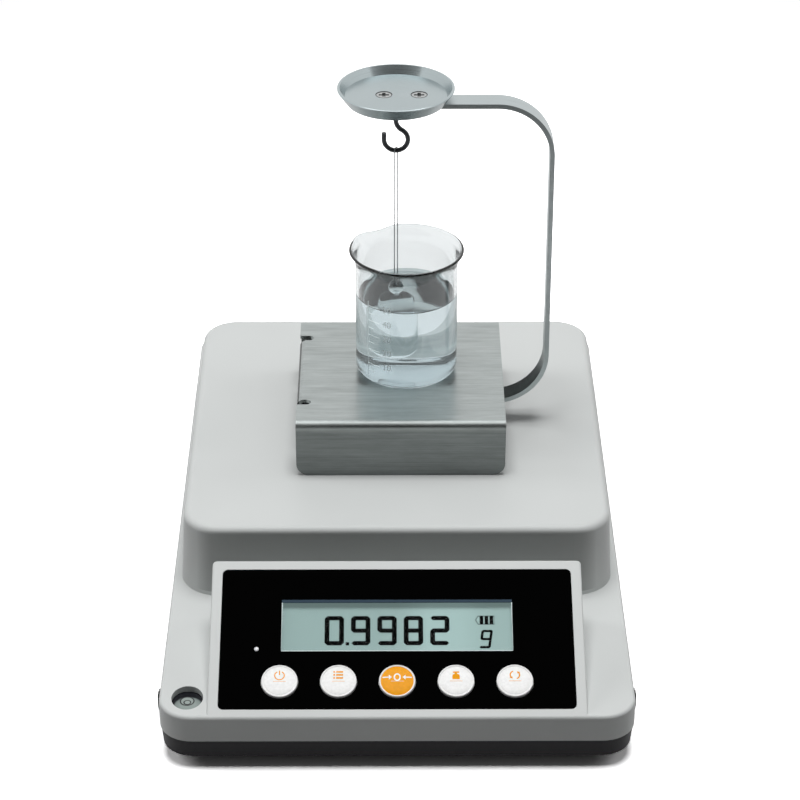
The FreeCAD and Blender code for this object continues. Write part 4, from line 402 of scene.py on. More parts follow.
# ---- Geometry Nodes ----
def start_tree(name, lengths, others=()):
    """A Geometry Nodes tree with named inputs: lengths, others as (label, socket type), and the material."""
    tree = bpy.data.node_groups.new(name, "GeometryNodeTree")
    for way in ("INPUT", "OUTPUT"):
        tree.interface.new_socket("Geometry", in_out=way, socket_type="NodeSocketGeometry")
    kinds = [*others, *[(label, "NodeSocketFloat") for label in lengths], ("Material", "NodeSocketMaterial")]
    for label, kind in kinds:
        tree.interface.new_socket(label, in_out="INPUT", socket_type=kind)
    return tree, tree.nodes.new("NodeGroupInput").outputs


def close_tree(tree, inputs, geometry):
    """Ends a tree in Realize Instances and Set Material."""
    real = add(tree, "GeometryNodeRealizeInstances", {"Geometry": geometry})
    dressed = add(tree, "GeometryNodeSetMaterial", {"Geometry": real, "Material": inputs["Material"]})
    add(tree, "NodeGroupOutput", {"Geometry": dressed})


def plain_copy(obj):
    """The plain mesh of an object as it shows. The object itself goes."""
    bpy.context.scene.collection.objects.link(obj)
    bpy.context.view_layer.update()
    mesh = bpy.data.meshes.new_from_object(obj.evaluated_get(bpy.context.evaluated_depsgraph_get()))
    bpy.data.objects.remove(obj)
    return mesh


def grow(tree, name, seed_mesh, values):
    """Runs a tree on a seed mesh and gives back the plain mesh that it makes."""
    obj = bpy.data.objects.new(name + "_seed", seed_mesh)
    modifier = obj.modifiers.new(name, "NODES")
    modifier.node_group = tree
    for item in tree.interface.items_tree:
        if item.in_out == "INPUT" and item.name in values:
            modifier[item.identifier] = values[item.name]
    mesh = plain_copy(obj)
    mesh.name = name
    mesh.materials.clear()
    return mesh


def digits_mesh(text, size, bolder):
    """Plain digits as a flat mesh, centred on the origin."""
    curve = bpy.data.curves.new("digits", "FONT")
    curve.body = text
    curve.size = size
    curve.offset = bolder
    curve.align_x = "CENTER"
    curve.align_y = "CENTER"
    return plain_copy(bpy.data.objects.new("digits", curve))


# ---- the sloping console ----
CONSOLE_TILT = math.radians(24.8)
CONSOLE_Y = -156.629
CONSOLE_Z = 25.562


def on_console(across, up, out):
    """A point on the console, from millimetres across, up the slope and out of it."""
    y = CONSOLE_Y + up * math.cos(CONSOLE_TILT) - out * math.sin(CONSOLE_TILT)
    z = CONSOLE_Z + up * math.sin(CONSOLE_TILT) + out * math.cos(CONSOLE_TILT)
    return Vector((across, y, z)) * MM


def console_layer(out):
    """Puts (across, up the slope) in the layer of the console that is so far out of it."""
    def place(across, up):
        return on_console(across, up, out)
    return place


# ---- settings ----
COLOUR = {"subtype": "COLOR", "size": 4, "min": 0, "max": 1}
LENGTH = {"subtype": "DISTANCE", "min": 0.1 * MM}


class HousingSettings(bpy.types.PropertyGroup):
    """Finishes of the case."""
    pale: FloatVectorProperty(name="Pale plastic", description="Colour of the upper case",
                              default=srgb("D2D5D4"), **COLOUR)
    dark: FloatVectorProperty(name="Dark plastic", description="Colour of the lower tray",
                              default=srgb("141317"), **COLOUR)
    grain: FloatProperty(name="Moulded grain", description="Size of the moulded texture", default=0.9 * MM,
                         **LENGTH)


class MetalSettings(bpy.types.PropertyGroup):
    """Finishes of the bridge, the arm and the tray."""
    sheet: FloatVectorProperty(name="Bridge steel", description="Colour of the brushed bridge",
                               default=srgb("AAB0AF"), **COLOUR)
    bar: FloatVectorProperty(name="Arm steel", description="Colour of the brushed arm",
                             default=srgb("B7BFC0"), **COLOUR)
    tray: FloatVectorProperty(name="Tray metal", description="Colour of the turned tray",
                              default=srgb("B0BABC"), **COLOUR)


class DisplaySettings(bpy.types.PropertyGroup):
    """The liquid crystal display."""
    reading: StringProperty(name="Reading", description="Digits that the display shows", default="0.9982")
    digit_pitch: FloatProperty(name="Digit pitch", description="Distance between digits", default=10.6 * MM,
                               **LENGTH)
    digit_width: FloatProperty(name="Digit width", description="Width of one digit", default=7.8 * MM,
                               **LENGTH)
    digit_height: FloatProperty(name="Digit height", description="Height of one digit", default=13.55 * MM,
                                **LENGTH)
    bar_width: FloatProperty(name="Segment width", description="Width of one lit bar", default=1.95 * MM,
                             **LENGTH)
    ground: FloatVectorProperty(name="Display ground", description="Colour behind the digits",
                                default=srgb("AAC5C2"), **COLOUR)


class KeySettings(bpy.types.PropertyGroup):
    """The five push keys."""
    pitch: FloatProperty(name="Key pitch", description="Distance between keys", default=23.3 * MM, **LENGTH)
    pale: FloatVectorProperty(name="Pale key", description="Colour of four keys", default=srgb("FAFAF9"),
                              **COLOUR)
    orange: FloatVectorProperty(name="Orange", description="Colour of the middle key and the symbols",
                                default=srgb("FCA91C"), **COLOUR)


class GlassSettings(bpy.types.PropertyGroup):
    """Beaker, liquid and sinker."""
    liquid_level: FloatProperty(name="Liquid level", description="Height of the liquid's surface",
                                subtype="DISTANCE", default=121.0 * MM, min=90 * MM, max=138 * MM)
    tick_count: IntProperty(name="Marks", description="Number of volume marks on the beaker", default=5,
                            min=1)
    tick_pitch: FloatProperty(name="Mark pitch", description="Height between volume marks", default=6.96 * MM,
                              **LENGTH)


class StageSettings(bpy.types.PropertyGroup):
    """Camera and studio light."""
    lens: FloatProperty(name="Lens", description="Focal length on a 36 mm sensor", default=123.57, min=10)
    sky: FloatProperty(name="Sky light", description="Strength of the soft light from all round",
                       default=0.05)
    top: FloatProperty(name="Top light", description="Power of the overhead soft box", default=53.0,
                       subtype="POWER")
    left: FloatProperty(name="Left light", description="Power of the left soft box", default=5.0,
                        subtype="POWER")
    right: FloatProperty(name="Right light", description="Power of the right soft box", default=3.0,
                         subtype="POWER")
    gleam: FloatProperty(name="Gleam", description="Power of the overhead panel that only gloss shows",
                         default=18.0, subtype="POWER")


SETTINGS = (("housing", HousingSettings), ("metal", MetalSettings), ("display", DisplaySettings),
            ("keys", KeySettings), ("glass", GlassSettings), ("stage", StageSettings))


# ---- operators ----
class METER_OT_finish_frame(bpy.types.Operator):
    """Gives every piece of the frame its real finish"""
    bl_idname = "meter.finish_frame"
    bl_label = "Finish the frame"

    # slot: (material, colour, roughness)
    METALS = {
        "zinc_steel": ("zinc_plated_steel", "B9BBBB", 0.32),
        "insert_brass": ("turned_brass", "C9A45C", 0.3),
        "machined_aluminium": ("milled_aluminium", "C9CBCC", 0.33),
        "black_wire": ("blackened_steel_wire", "454749", 0.38),
        "fine_wire": ("drawn_stainless_wire", "85898B", 0.3),
    }
    MOULDINGS = {
        "battery_case": ("battery_abs_grey", "4A4D52", 0.5),
        "holder_white": ("acetal_white", "E6E6E2", 0.5),
        "led_clear": ("epoxy_led_white", "F4F6F8", 0.2),
        "switch_black": ("switch_nylon_black", "1B1B1D", 0.45),
        "board_green": ("solder_mask_green", "1F5B3A", 0.35),
        "component_black": ("epoxy_black", "1D1D1F", 0.4),
        "cable_grey": ("pvc_ribbon_grey", "8C8F92", 0.5),
        "foot_rubber": ("nitrile_rubber_black", "161616", 0.75),
        "wheel_black": ("moulded_nylon_black", "1E1E20", 0.5),
    }
    # hair lines per metre along X, Y and Z
    SHEET_LINES = (18.0, 2900.0, 2900.0)
    BAR_LINES = (60.0, 2600.0, 60.0)
    # (height above the bench in mm, tone) of the painted shade on the sheet's flange, and of the painted
    # shade and light on the bar's edges
    FLANGE_SHADE = ((58.0, 0.42), (79.0, 0.63), (81.0, 1.0))
    BAR_EDGE_SHADE = ((60.0, 1.05), (84.0, 1.0), (95.0, 0.74), (190.0, 0.74), (207.0, 0.58))
    # metres: half the bar's width, and how deep its edges with painted shade go
    HALF_BAR = 5.0 * MM
    BAR_SKIN = 0.02 * MM
    # metres above the bench: the foot of the platform's front wall, and that of the sheet's bend
    PLATFORM_FOOT = 27.5 * MM
    BEND_FOOT = 81.5 * MM
    # metres from the bridge's left and front edges: the bend's depth and its two notches
    BEND_REACH = 0.9 * MM
    NOTCHES = (18.0 * MM, 74.8 * MM)

    def execute(self, context):
        finishes = {slot: plain_metal(name, srgb(colour), roughness)
                    for slot, (name, colour, roughness) in self.METALS.items()}
        finishes.update({slot: plain_moulding(name, srgb(colour), roughness)
                         for slot, (name, colour, roughness) in self.MOULDINGS.items()})
        self.finish_case(finishes, context.scene)
        self.finish_steel(finishes, context.scene.meter_metal)
        for name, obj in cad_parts.items():
            for place in obj.material_slots:
                slot = place.material.name.split(".")[0]
                if slot not in finishes:
                    raise RuntimeError(f"node {name} has a slot with no finish: {slot}")
                place.material = finishes[slot]
        return {"FINISHED"}

    def finish_case(self, finishes, scene):
        """The case's plastics, panel, display and keys, and the glass."""
        housing, keys = scene.meter_housing, scene.meter_keys
        pale = moulded_plastic("moulded_abs_pale", housing.pale, 0.46, housing.grain, 0.4)
        # painted shade on the platform's front wall, above its foot
        finishes["pale_abs"] = painted_wall_shade(pale, self.PLATFORM_FOOT, 0.62)
        finishes["dark_abs"] = moulded_plastic("moulded_abs_dark", housing.dark, 0.5, housing.grain, 0.2)
        finishes["panel_black"] = plain_moulding("polycarbonate_black", srgb("010101"), 0.22, 1.58,
                                                 {"Specular IOR Level": 0.003})
        finishes["key_pale"] = plain_moulding("gloss_abs_white", keys.pale, 0.15)
        finishes["key_orange"] = plain_moulding("gloss_abs_orange", keys.orange, 0.15)
        finishes["vial_clear"] = clear_glass("acrylic_vial", srgb("E4EAE6"), 1.49, 0.05)
        finishes["window_clear"] = clear_glass("anti_glare_window", srgb("FDFEFE"), 1.1)
        finishes["lab_glass"] = clear_glass("borosilicate_glass", srgb("F5F8F8"), 1.474)
        finishes["lcd_glass"] = self.display_glass(scene.meter_display.ground)

    def finish_steel(self, finishes, metal):
        """The bridge, the arm and the tray on it."""
        tray_low, tray_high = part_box("weighing_tray")
        centre = (tray_low + tray_high) / 2
        bar = brushed_metal("brushed_stainless_bar", metal.bar, self.BAR_LINES, 0.08, 0.5)
        edge = self.HALF_BAR - self.BAR_SKIN
        # painted shade and painted light on the bar's cut edges, by height
        finishes["steel_bar"] = painted_edge_shade(bar, centre.y, edge, self.BAR_EDGE_SHADE)
        sheet = brushed_metal("brushed_stainless_sheet", metal.sheet, self.SHEET_LINES, 0.24, 0.75)
        # painted shade: the sheet darkens down its front flange towards the bench
        toned(sheet, height_tone(sheet.node_tree, self.FLANGE_SHADE))
        finishes["brushed_sheet"] = self.bend_shade(sheet)
        tray = turned_metal("turned_aluminium", metal.tray, centre)
        # painted shade on the tray's faces that look down
        finishes["turned_aluminium"] = painted_underside_shade(tray, 0.66)

    def bend_shade(self, made):
        """Darkens the bend of the sheet's short left flange, between its two notches."""
        tree = made.node_tree
        low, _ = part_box("beaker_bridge")
        front, back = [low.y + reach for reach in self.NOTCHES]
        place = object_axes(tree)
        here = add(tree, "ShaderNodeMath", {0: place["X"], 1: low.x + self.BEND_REACH}, operation="LESS_THAN")
        for axis, test, limit in (("Y", "GREATER_THAN", front), ("Y", "LESS_THAN", back),
                                  ("Z", "GREATER_THAN", self.BEND_FOOT)):
            inside = add(tree, "ShaderNodeMath", {0: place[axis], 1: limit}, operation=test)
            here = add(tree, "ShaderNodeMath", {0: here, 1: inside}, operation="MULTIPLY")
        return toned(made, 0.2, here)

    def display_glass(self, colour):
        """Liquid crystal cell under a satin polariser: grey-green, lighter in a band right of its middle. Its
        weak glow in its own colour is partly a backlight and partly painted light, which lifts the shade that
        the window's upper edge casts on the cell; its base colour is dimmed to match."""
        made, tree, shader = start_material("lcd_polariser", {
            "Roughness": 0.3, "IOR": 1.5, "Specular IOR Level": 0.1, "Emission Strength": 0.34})
        along = add(tree, "ShaderNodeMapRange", {
            "Value": object_axes(tree)["X"], "From Min": -48 * MM, "From Max": 48 * MM})
        tint = ramp(tree, along, [(0.5, shaded(colour, 0.9)), (0.64, shaded(colour, 1.12)),
                                  (0.76, shaded(colour, 1.12)), (0.88, shaded(colour, 0.98))])
        feed(shader, "Base Color", tint)
        feed(shader, "Emission Color", tint)
        return toned(made, 0.64)


class METER_OT_build_keys(bpy.types.Operator):
    """Models the five domed keys with their printed symbols"""
    bl_idname = "meter.build_keys"
    bl_label = "Build the keys"

    # millimetres: (radius, height out of the console), from the middle of the cap down to the stem's tip
    CAP = ((0, 1.2), (1.6, 1.19), (3.2, 1.15), (4.6, 1.07), (5.6, 0.96), (6.2, 0.84), (6.4, 0.76),
           (6.5, 0.78), (6.62, 0.92), (6.8, 1.0), (6.98, 0.98), (7.16, 0.86), (7.25, 0.7), (7.25, -1.8),
           (8.2, -1.8), (8.2, -3.0), (1.7, -3.0), (1.7, -4.7), (0, -4.7))
    RIM_START = 6.5
    KEY_UP = 15.35
    PRINT_LIFT = 0.03
    PRINT_DEPTH = 0.05
    LINE_STEP = 0.6

    def execute(self, context):
        keys = context.scene.meter_keys
        white = plain_moulding("gloss_abs_key_white", keys.pale, 0.16)
        orange = printed("gloss_abs_key_orange", keys.orange, 0.18, 0.15)
        ink_orange = printed("pad_print_orange", keys.orange, 0.5, 0.1)
        ink_white = plain_moulding("pad_print_white", srgb("FBFBF8"), 0.3)
        rows = (("key_power", self.power), ("key_function", self.menu), ("key_tare", self.zero),
                ("key_calibrate", self.weight), ("key_convert", self.swap))
        for index, (name, draw) in enumerate(rows):
            across = (index - 2) * keys.pitch / MM
            if name == "key_tare":
                self.cap(name, across, [orange, white], "key_orange")
                self.symbol(name, across, draw, ink_white, "key_pale")
            else:
                self.cap(name, across, [white, white], "key_pale")
                self.symbol(name, across, draw, ink_orange, "key_orange")
        return {"FINISHED"}

    def cap(self, name, across, materials, slot):
        """The cap with its rim, skirt and stem. The rim and all below it have the second material."""
        def place(radius, turn, out):
            return on_console(across + radius * math.cos(turn), self.KEY_UP + radius * math.sin(turn), out)
        bm, faces = lathe(self.CAP, place, 72)
        for index, face in faces:
            face.material_index = 1 if self.CAP[index][0] >= self.RIM_START else 0
        finish_piece(name + "_cap", bm, materials, name, (name,), 40.0)

    def surface(self, radius):
        """Height of the cap's face at a radius."""
        for (r0, h0), (r1, h1) in zip(self.CAP, self.CAP[1:]):
            if r0 <= radius <= r1:
                return h0 + (h1 - h0) * (radius - r0) / (r1 - r0)
        raise RuntimeError("a symbol runs past its key's rim")

    def symbol(self, name, across, draw, ink, slot):
        """The symbol and the thin line under it, which follow the dome."""
        def dome(lift):
            return lambda a, b: on_console(across + a, self.KEY_UP + b, self.surface(math.hypot(a, b)) + lift)
        layers = (dome(self.PRINT_LIFT), dome(-self.PRINT_DEPTH))
        bm = bmesh.new()
        self.line(bm, layers, [(-2.5, -0.35), (2.5, -0.35)], 0.16)
        draw(bm, layers)
        finish_piece(name + "_symbol", bm, ink, name)

    def line(self, bm, layers, points, width, closed=False):
        """A printed line, cut into short runs so that it follows the dome."""
        runs = []
        ends = points[1:] + points[:1] if closed else points[1:]
        for (x0, y0), (x1, y1) in zip(points, ends):
            count = max(1, round(math.hypot(x1 - x0, y1 - y0) / self.LINE_STEP))
            runs += [(x0 + (x1 - x0) * step / count, y0 + (y1 - y0) * step / count) for step in range(count)]
        if not closed:
            runs.append(points[-1])
        strip(bm, *ribbon(runs, width, closed), *layers, closed)

    def power(self, bm, layers):
        """An open ring with an upright line in its gap."""
        self.line(bm, layers, arc_points(0, 2.25, 1.9, 118, 422, 30), 0.42)
        self.line(bm, layers, [(0, 2.5), (0, 4.5)], 0.42)

    def menu(self, bm, layers):
        """Three lines of a list, each after its dot."""
        for height in (3.9, 2.5, 1.1):
            self.line(bm, layers, [(-0.9, height), (1.9, height)], 0.72)
            self.line(bm, layers, [(-2.0, height), (-1.3, height)], 0.72)

    def zero(self, bm, layers):
        """A nought between two arrows that point at it."""
        oval = [(1.15 * math.cos(math.radians(turn)), 1.45 + 1.45 * math.sin(math.radians(turn)))
                for turn in range(0, 360, 12)]
        self.line(bm, layers, oval, 0.55, closed=True)
        for side in (-1, 1):
            self.line(bm, layers, [(side * 5.8, 1.45), (side * 3.2, 1.45)], 0.5)
            strip(bm, [(side * 3.3, 2.55), (side * 2.2, 1.5)],
                  [(side * 3.3, 0.35), (side * 2.2, 1.4)], *layers)

    def weight(self, bm, layers):
        """A calibration weight with its knob."""
        strip(bm, [(-1.45, 0.45), (-1.5, 1.6), (-1.35, 2.5), (-0.7, 2.9)],
              [(1.45, 0.45), (1.5, 1.6), (1.35, 2.5), (0.7, 2.9)], *layers)
        strip(bm, [(-0.45, 2.7), (-0.5, 3.4)], [(0.45, 2.7), (0.5, 3.4)], *layers)
        block(bm, -1.25, 1.25, 3.35, 4.0, *layers)

    def swap(self, bm, layers):
        """Two arrows that chase each other round a ring."""
        middle, radius, sweep, head, wide = 2.35, 1.85, 98, 32, 0.62
        for start in (112, 292):
            self.line(bm, layers, arc_points(0, middle, radius, start, start + sweep, 12), 0.5)
            turn = math.radians(start + sweep)
            ahead = math.radians(start + sweep + head)
            tip = (1.9 * math.cos(ahead), middle + 1.9 * math.sin(ahead))
            edges = []
            for side in (1, -1):
                reach = radius + side * wide
                edges.append([(reach * math.cos(turn), middle + reach * math.sin(turn)),
                              (tip[0] + side * 0.03, tip[1])])
            strip(bm, *edges, *layers)


class METER_OT_build_display(bpy.types.Operator):
    """Lights the display's bars and its battery mark"""
    bl_idname = "meter.build_display"
    bl_label = "Build the display"

    BARS = {"0": "abcdef", "1": "bc", "2": "abged", "3": "abgcd", "4": "fgbc", "5": "afgcd", "6": "afgecd",
            "7": "abc", "8": "abcdefg", "9": "abcdfg"}
    # millimetres from here on: the display's face out of the console, the ink on it and the gaps between bars
    FACE = -2.8
    INK = 0.05
    GAP = 0.42
    # the reading's left end and middle line, and the decimal point
    FIRST = -29.1
    MIDDLE = 40.3
    POINT = 1.4
    # the unit, which is drawn like a nine: middle, size, width of a bar and of a gap, and its lean
    UNIT_AT = (35.7, 36.3)
    UNIT_SIZE = (4.6, 8.5)
    UNIT_BAR = 1.05
    UNIT_GAP = 0.24
    SLANT = 0.14
    # the battery mark: left, right, low and high side, nose, line, and its three cells
    BATTERY = (32.7, 39.1, 43.2, 47.0)
    BATTERY_NOSE = 1.1
    BATTERY_LINE = 0.3
    CELLS = (33.3, 35.3, 37.3)
    CELL_WIDTH = 1.45
    # the window's half width, its two ends up the slope, the panel's face and the width of the bevels
    HALF_WIDTH = 46.4
    LOW_EDGE = 29.3
    HIGH_EDGE = 53.2
    PANEL_TOP = -0.1
    UPPER_BEVEL = 1.3
    BEVEL = 0.36

    def execute(self, context):
        display = context.scene.meter_display
        black = printed("liquid_crystal_black", srgb("020303"), 0.5, 0.02)
        tree = self.bar_tree()
        pitch, width, height, bar = [length / MM for length in (display.digit_pitch, display.digit_width,
                                                                display.digit_height, display.bar_width)]
        points = []
        first = self.FIRST + width / 2
        for index, mark in enumerate([mark for mark in display.reading if mark in self.BARS]):
            points += self.digit(mark, first + index * pitch, self.MIDDLE, width, height, bar)
        self.bars("display_digits", tree, points, width, bar, self.GAP, black)
        unit = self.digit("9", *self.UNIT_AT, *self.UNIT_SIZE, self.UNIT_BAR, self.SLANT)
        self.bars("display_unit", tree, unit, self.UNIT_SIZE[0], self.UNIT_BAR, self.UNIT_GAP, black)
        place = display.reading.find(".")
        point = first + (place - 1) * pitch + width / 2 + (pitch - width) / 2 if place > 0 else None
        self.marks(point, self.MIDDLE - height / 2, black)
        self.window_edges()
        return {"FINISHED"}

    def window_edges(self):
        """The window's bevel, painted level with the panel: slate painted shade on the side up the slope,
        which faces away from the light, and a bright painted highlight on the other three."""
        slate = printed("bevel_in_shade", srgb("334350"), 0.5, 0.1)
        bright = plain_moulding("bevel_in_light", srgb("D3E0E0"), 0.4)
        layers = (console_layer(self.PANEL_TOP + 0.02), console_layer(self.PANEL_TOP - 0.3))
        side = self.HALF_WIDTH - 0.02
        bm = bmesh.new()
        block(bm, -side, side, self.HIGH_EDGE - self.UPPER_BEVEL, self.HIGH_EDGE, *layers)
        finish_piece("window_upper_bevel_painted_shade", bm, slate, "housing")
        bm = bmesh.new()
        edge = self.HALF_WIDTH - self.BEVEL / 2
        foot = self.LOW_EDGE + 0.25
        top = self.HIGH_EDGE - self.UPPER_BEVEL - 0.02
        strip(bm, *ribbon([(-edge, top), (-edge, foot), (edge, foot), (edge, top)], self.BEVEL), *layers)
        finish_piece("window_bevel_painted_highlight", bm, bright, "housing")

    def digit(self, mark, across, up, width, height, bar, slant=0.0):
        """(x, y, turn, stretch) of each lit bar of a seven-bar digit."""
        half = (width - bar) / 2
        rise = (height - bar) / 2
        long = rise / (width - bar)
        places = {"a": (0, rise, 0, 1), "g": (0, 0, 0, 1), "d": (0, -rise, 0, 1),
                  "b": (half, rise / 2, 1, long), "c": (half, -rise / 2, 1, long),
                  "e": (-half, -rise / 2, 1, long), "f": (-half, rise / 2, 1, long)}
        found = []
        for letter in self.BARS[mark]:
            x, y, turned, stretch = places[letter]
            found.append((across + x + slant * y, up + y, turned * (math.pi / 2 - slant), stretch))
        return found

    def bar_tree(self):
        """Geometry Nodes: one six-sided bar on each point, turned and stretched by the point's own values."""
        tree, inputs = start_tree("display_bars", ("Length", "Width", "Gap", "Thickness"))
        reach = add(tree, "ShaderNodeMath", {0: inputs["Length"], 1: inputs["Gap"]}, operation="SUBTRACT")
        half_width = add(tree, "ShaderNodeMath", {0: inputs["Width"], 1: 0.5}, operation="MULTIPLY")
        diamond = add(tree, "GeometryNodeMeshCircle", {"Vertices": 4, "Radius": half_width})
        joined = add(tree, "GeometryNodeJoinGeometry")
        for side in (-0.5, 0.5):
            across = add(tree, "ShaderNodeMath", {0: reach, 1: side}, operation="MULTIPLY")
            for level in (0.0, 1.0):
                up = add(tree, "ShaderNodeMath", {0: inputs["Thickness"], 1: level}, operation="MULTIPLY")
                place = add(tree, "ShaderNodeCombineXYZ", {"X": across, "Z": up})
                moved = add(tree, "GeometryNodeTransform", {"Geometry": diamond, "Translation": place})
                feed(joined, "Geometry", moved)
        bar = add(tree, "GeometryNodeConvexHull", {"Geometry": joined})
        turn, stretch = [add(tree, "GeometryNodeInputNamedAttribute", {"Name": name},
                             data_type="FLOAT").outputs["Attribute"] for name in ("turn", "stretch")]
        rotation = add(tree, "ShaderNodeCombineXYZ", {"Z": turn})
        scale = add(tree, "ShaderNodeCombineXYZ", {"X": stretch, "Y": 1.0, "Z": 1.0})
        placed = add(tree, "GeometryNodeInstanceOnPoints", {
            "Points": inputs["Geometry"], "Instance": bar, "Rotation": rotation, "Scale": scale})
        close_tree(tree, inputs, placed)
        return tree

    def bars(self, name, tree, points, width, bar, gap, material):
        """Grows the lit bars of a digit of this width and lays them on the display."""
        seed = bpy.data.meshes.new(name)
        seed.from_pydata([(x * MM, y * MM, 0) for x, y, _, _ in points], [], [])
        for label, column in (("turn", 2), ("stretch", 3)):
            attribute = seed.attributes.new(label, "FLOAT", "POINT")
            attribute.data.foreach_set("value", [point[column] for point in points])
        mesh = grow(tree, name, seed, {"Length": (width - bar) * MM, "Width": bar * MM, "Gap": gap * MM,
                                       "Thickness": self.INK * MM, "Material": material})
        for vertex in mesh.vertices:
            x, y, z = vertex.co / MM
            vertex.co = on_console(x, y, self.FACE + z)
        finish_piece(name, mesh, material, "housing")

    def marks(self, point, foot, black):
        """Decimal point, if there is one, and battery mark."""
        bm = bmesh.new()
        layers = (console_layer(self.FACE + self.INK), console_layer(self.FACE))
        if point is not None:
            block(bm, point - self.POINT / 2, point + self.POINT / 2, foot, foot + self.POINT, *layers)
        left, right, low, high = self.BATTERY
        outline = [(left, low), (right, low), (right, high), (left, high),
                   (left - self.BATTERY_NOSE, (low + high) / 2)]
        strip(bm, *ribbon(outline, self.BATTERY_LINE, closed=True), *layers, closed=True)
        inset = self.BATTERY_LINE / 2
        for x in self.CELLS:
            block(bm, x, x + self.CELL_WIDTH, low + inset, high - inset, *layers)
        finish_piece("display_marks", bm, black, "housing")


class METER_OT_build_level(bpy.types.Operator):
    """Models the bubble level's vial"""
    bl_idname = "meter.build_level"
    bl_label = "Build the bubble level"

    # millimetres: the vial's axis, its foot and its top, and how far the ring and the bubble are off the axis
    X = -83.2
    Y = -144.5
    FOOT = 18.1
    TOP = 23.0
    ON_AXIS = (0.0, 0.0)
    RING_AT = (-0.2, 1.4)
    BUBBLE_AT = (-0.1, 0.55)
    # the pale spot where the vial's floor shows, amid painted shade: its place off the axis, and from where
    # to where it darkens
    SPOT_AT = (0.3, -1.5)
    SPOT_R = (2.8, 5.9)

    def execute(self, context):
        ring = plain_moulding("level_ring_print_and_bubble_edge_shade", srgb("17191B"), 0.4)
        inside = plain_moulding("level_liquid_inside_ring", srgb("9AA5A1"), 0.15, 1.36)
        bubble = plain_moulding("level_bubble", srgb("9FA9A5"), 0.08, 1.33)
        # each profile is (radius, height above the vial's top)
        foot = self.FOOT - self.TOP
        body = [(0, foot), (8.0, foot), (8.0, -0.5), (7.7, -0.1), (6.6, 0.0), (0, 0.0)]
        self.turn_piece("level_vial_body", body, self.liquid(), self.ON_AXIS, replaced=("level_vial",))
        self.turn_piece("level_circle", [(0, -0.01), (2.6, -0.01), (2.6, 0.03), (0, 0.03)], inside,
                        self.RING_AT)
        self.turn_piece("level_ring", [(2.45, -0.02), (2.95, -0.02), (2.95, 0.06), (2.45, 0.06)], ring,
                        self.RING_AT, close=True)
        # the bubble's dark edge is painted shade, where its rim bends light away, in the ring's dark colour
        self.turn_piece("level_bubble_edge", [(1.1, 0.01), (1.6, 0.01), (1.55, 0.06), (1.1, 0.06)], ring,
                        self.BUBBLE_AT, close=True)
        self.turn_piece("level_bubble", [(0, 0.0), (1.25, 0.0), (1.2, 0.04), (0.8, 0.07), (0, 0.08)], bubble,
                        self.BUBBLE_AT)
        return {"FINISHED"}

    def turn_piece(self, name, profile, material, at, close=False, replaced=()):
        """One turned piece of the vial, off its axis."""
        raised = [(radius, self.TOP + height) for radius, height in profile]
        bm, _ = lathe(raised, about(self.X + at[0], self.Y + at[1]), 64, close)
        finish_piece(name, bm, material, "housing", replaced)

    def liquid(self):
        """Grey liquid in a clear vial with painted shade: pale round a spot, nearly black towards its edge.
        """
        made, tree, shader = start_material("level_liquid", {"Roughness": 0.12, "IOR": 1.49})
        middle = Vector((self.X + self.SPOT_AT[0], self.Y + self.SPOT_AT[1], self.TOP)) * MM
        place = add(tree, "ShaderNodeTexCoord").outputs["Object"]
        off = add(tree, "ShaderNodeVectorMath", {0: place, 1: middle}, operation="SUBTRACT")
        far = add(tree, "ShaderNodeVectorMath", {0: off}, operation="LENGTH").outputs["Value"]
        start, end = [radius * MM for radius in self.SPOT_R]
        spread = add(tree, "ShaderNodeMapRange", {"Value": far, "From Min": start, "From Max": end})
        tint = ramp(tree, spread,
                    [(0.0, srgb("8E9A96")), (0.7, srgb("7B8784")), (1.0, srgb("1C1D22"))])
        feed(shader, "Base Color", tint)
        return made


class METER_OT_edge_tray_screws(bpy.types.Operator):
    """Lays a ring of painted shade in the gap round each countersunk head in the tray"""
    bl_idname = "meter.edge_tray_screws"
    bl_label = "Edge the tray's screws"

    # millimetres: the head's radius, the gap's width and the tray's floor above the bench
    HEAD_R = 3.2
    GAP = 0.32
    FLOOR = 213.3

    def execute(self, context):
        dark = plain_moulding("painted_shade_in_screw_gap", srgb("2E3234"), 0.6)
        low, high = [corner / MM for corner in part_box("tray_screws")]
        far = self.HEAD_R + self.GAP
        sunk, raised = self.FLOOR - 0.1, self.FLOOR + 0.03
        bm = bmesh.new()
        for x in (low.x + self.HEAD_R, high.x - self.HEAD_R):
            lathe([(self.HEAD_R, sunk), (far, sunk), (far, raised), (self.HEAD_R, raised)],
                  about(x, (low.y + high.y) / 2), 48, True, bm)
        finish_piece("tray_screw_gaps", bm, dark, "carriage")
        return {"FINISHED"}


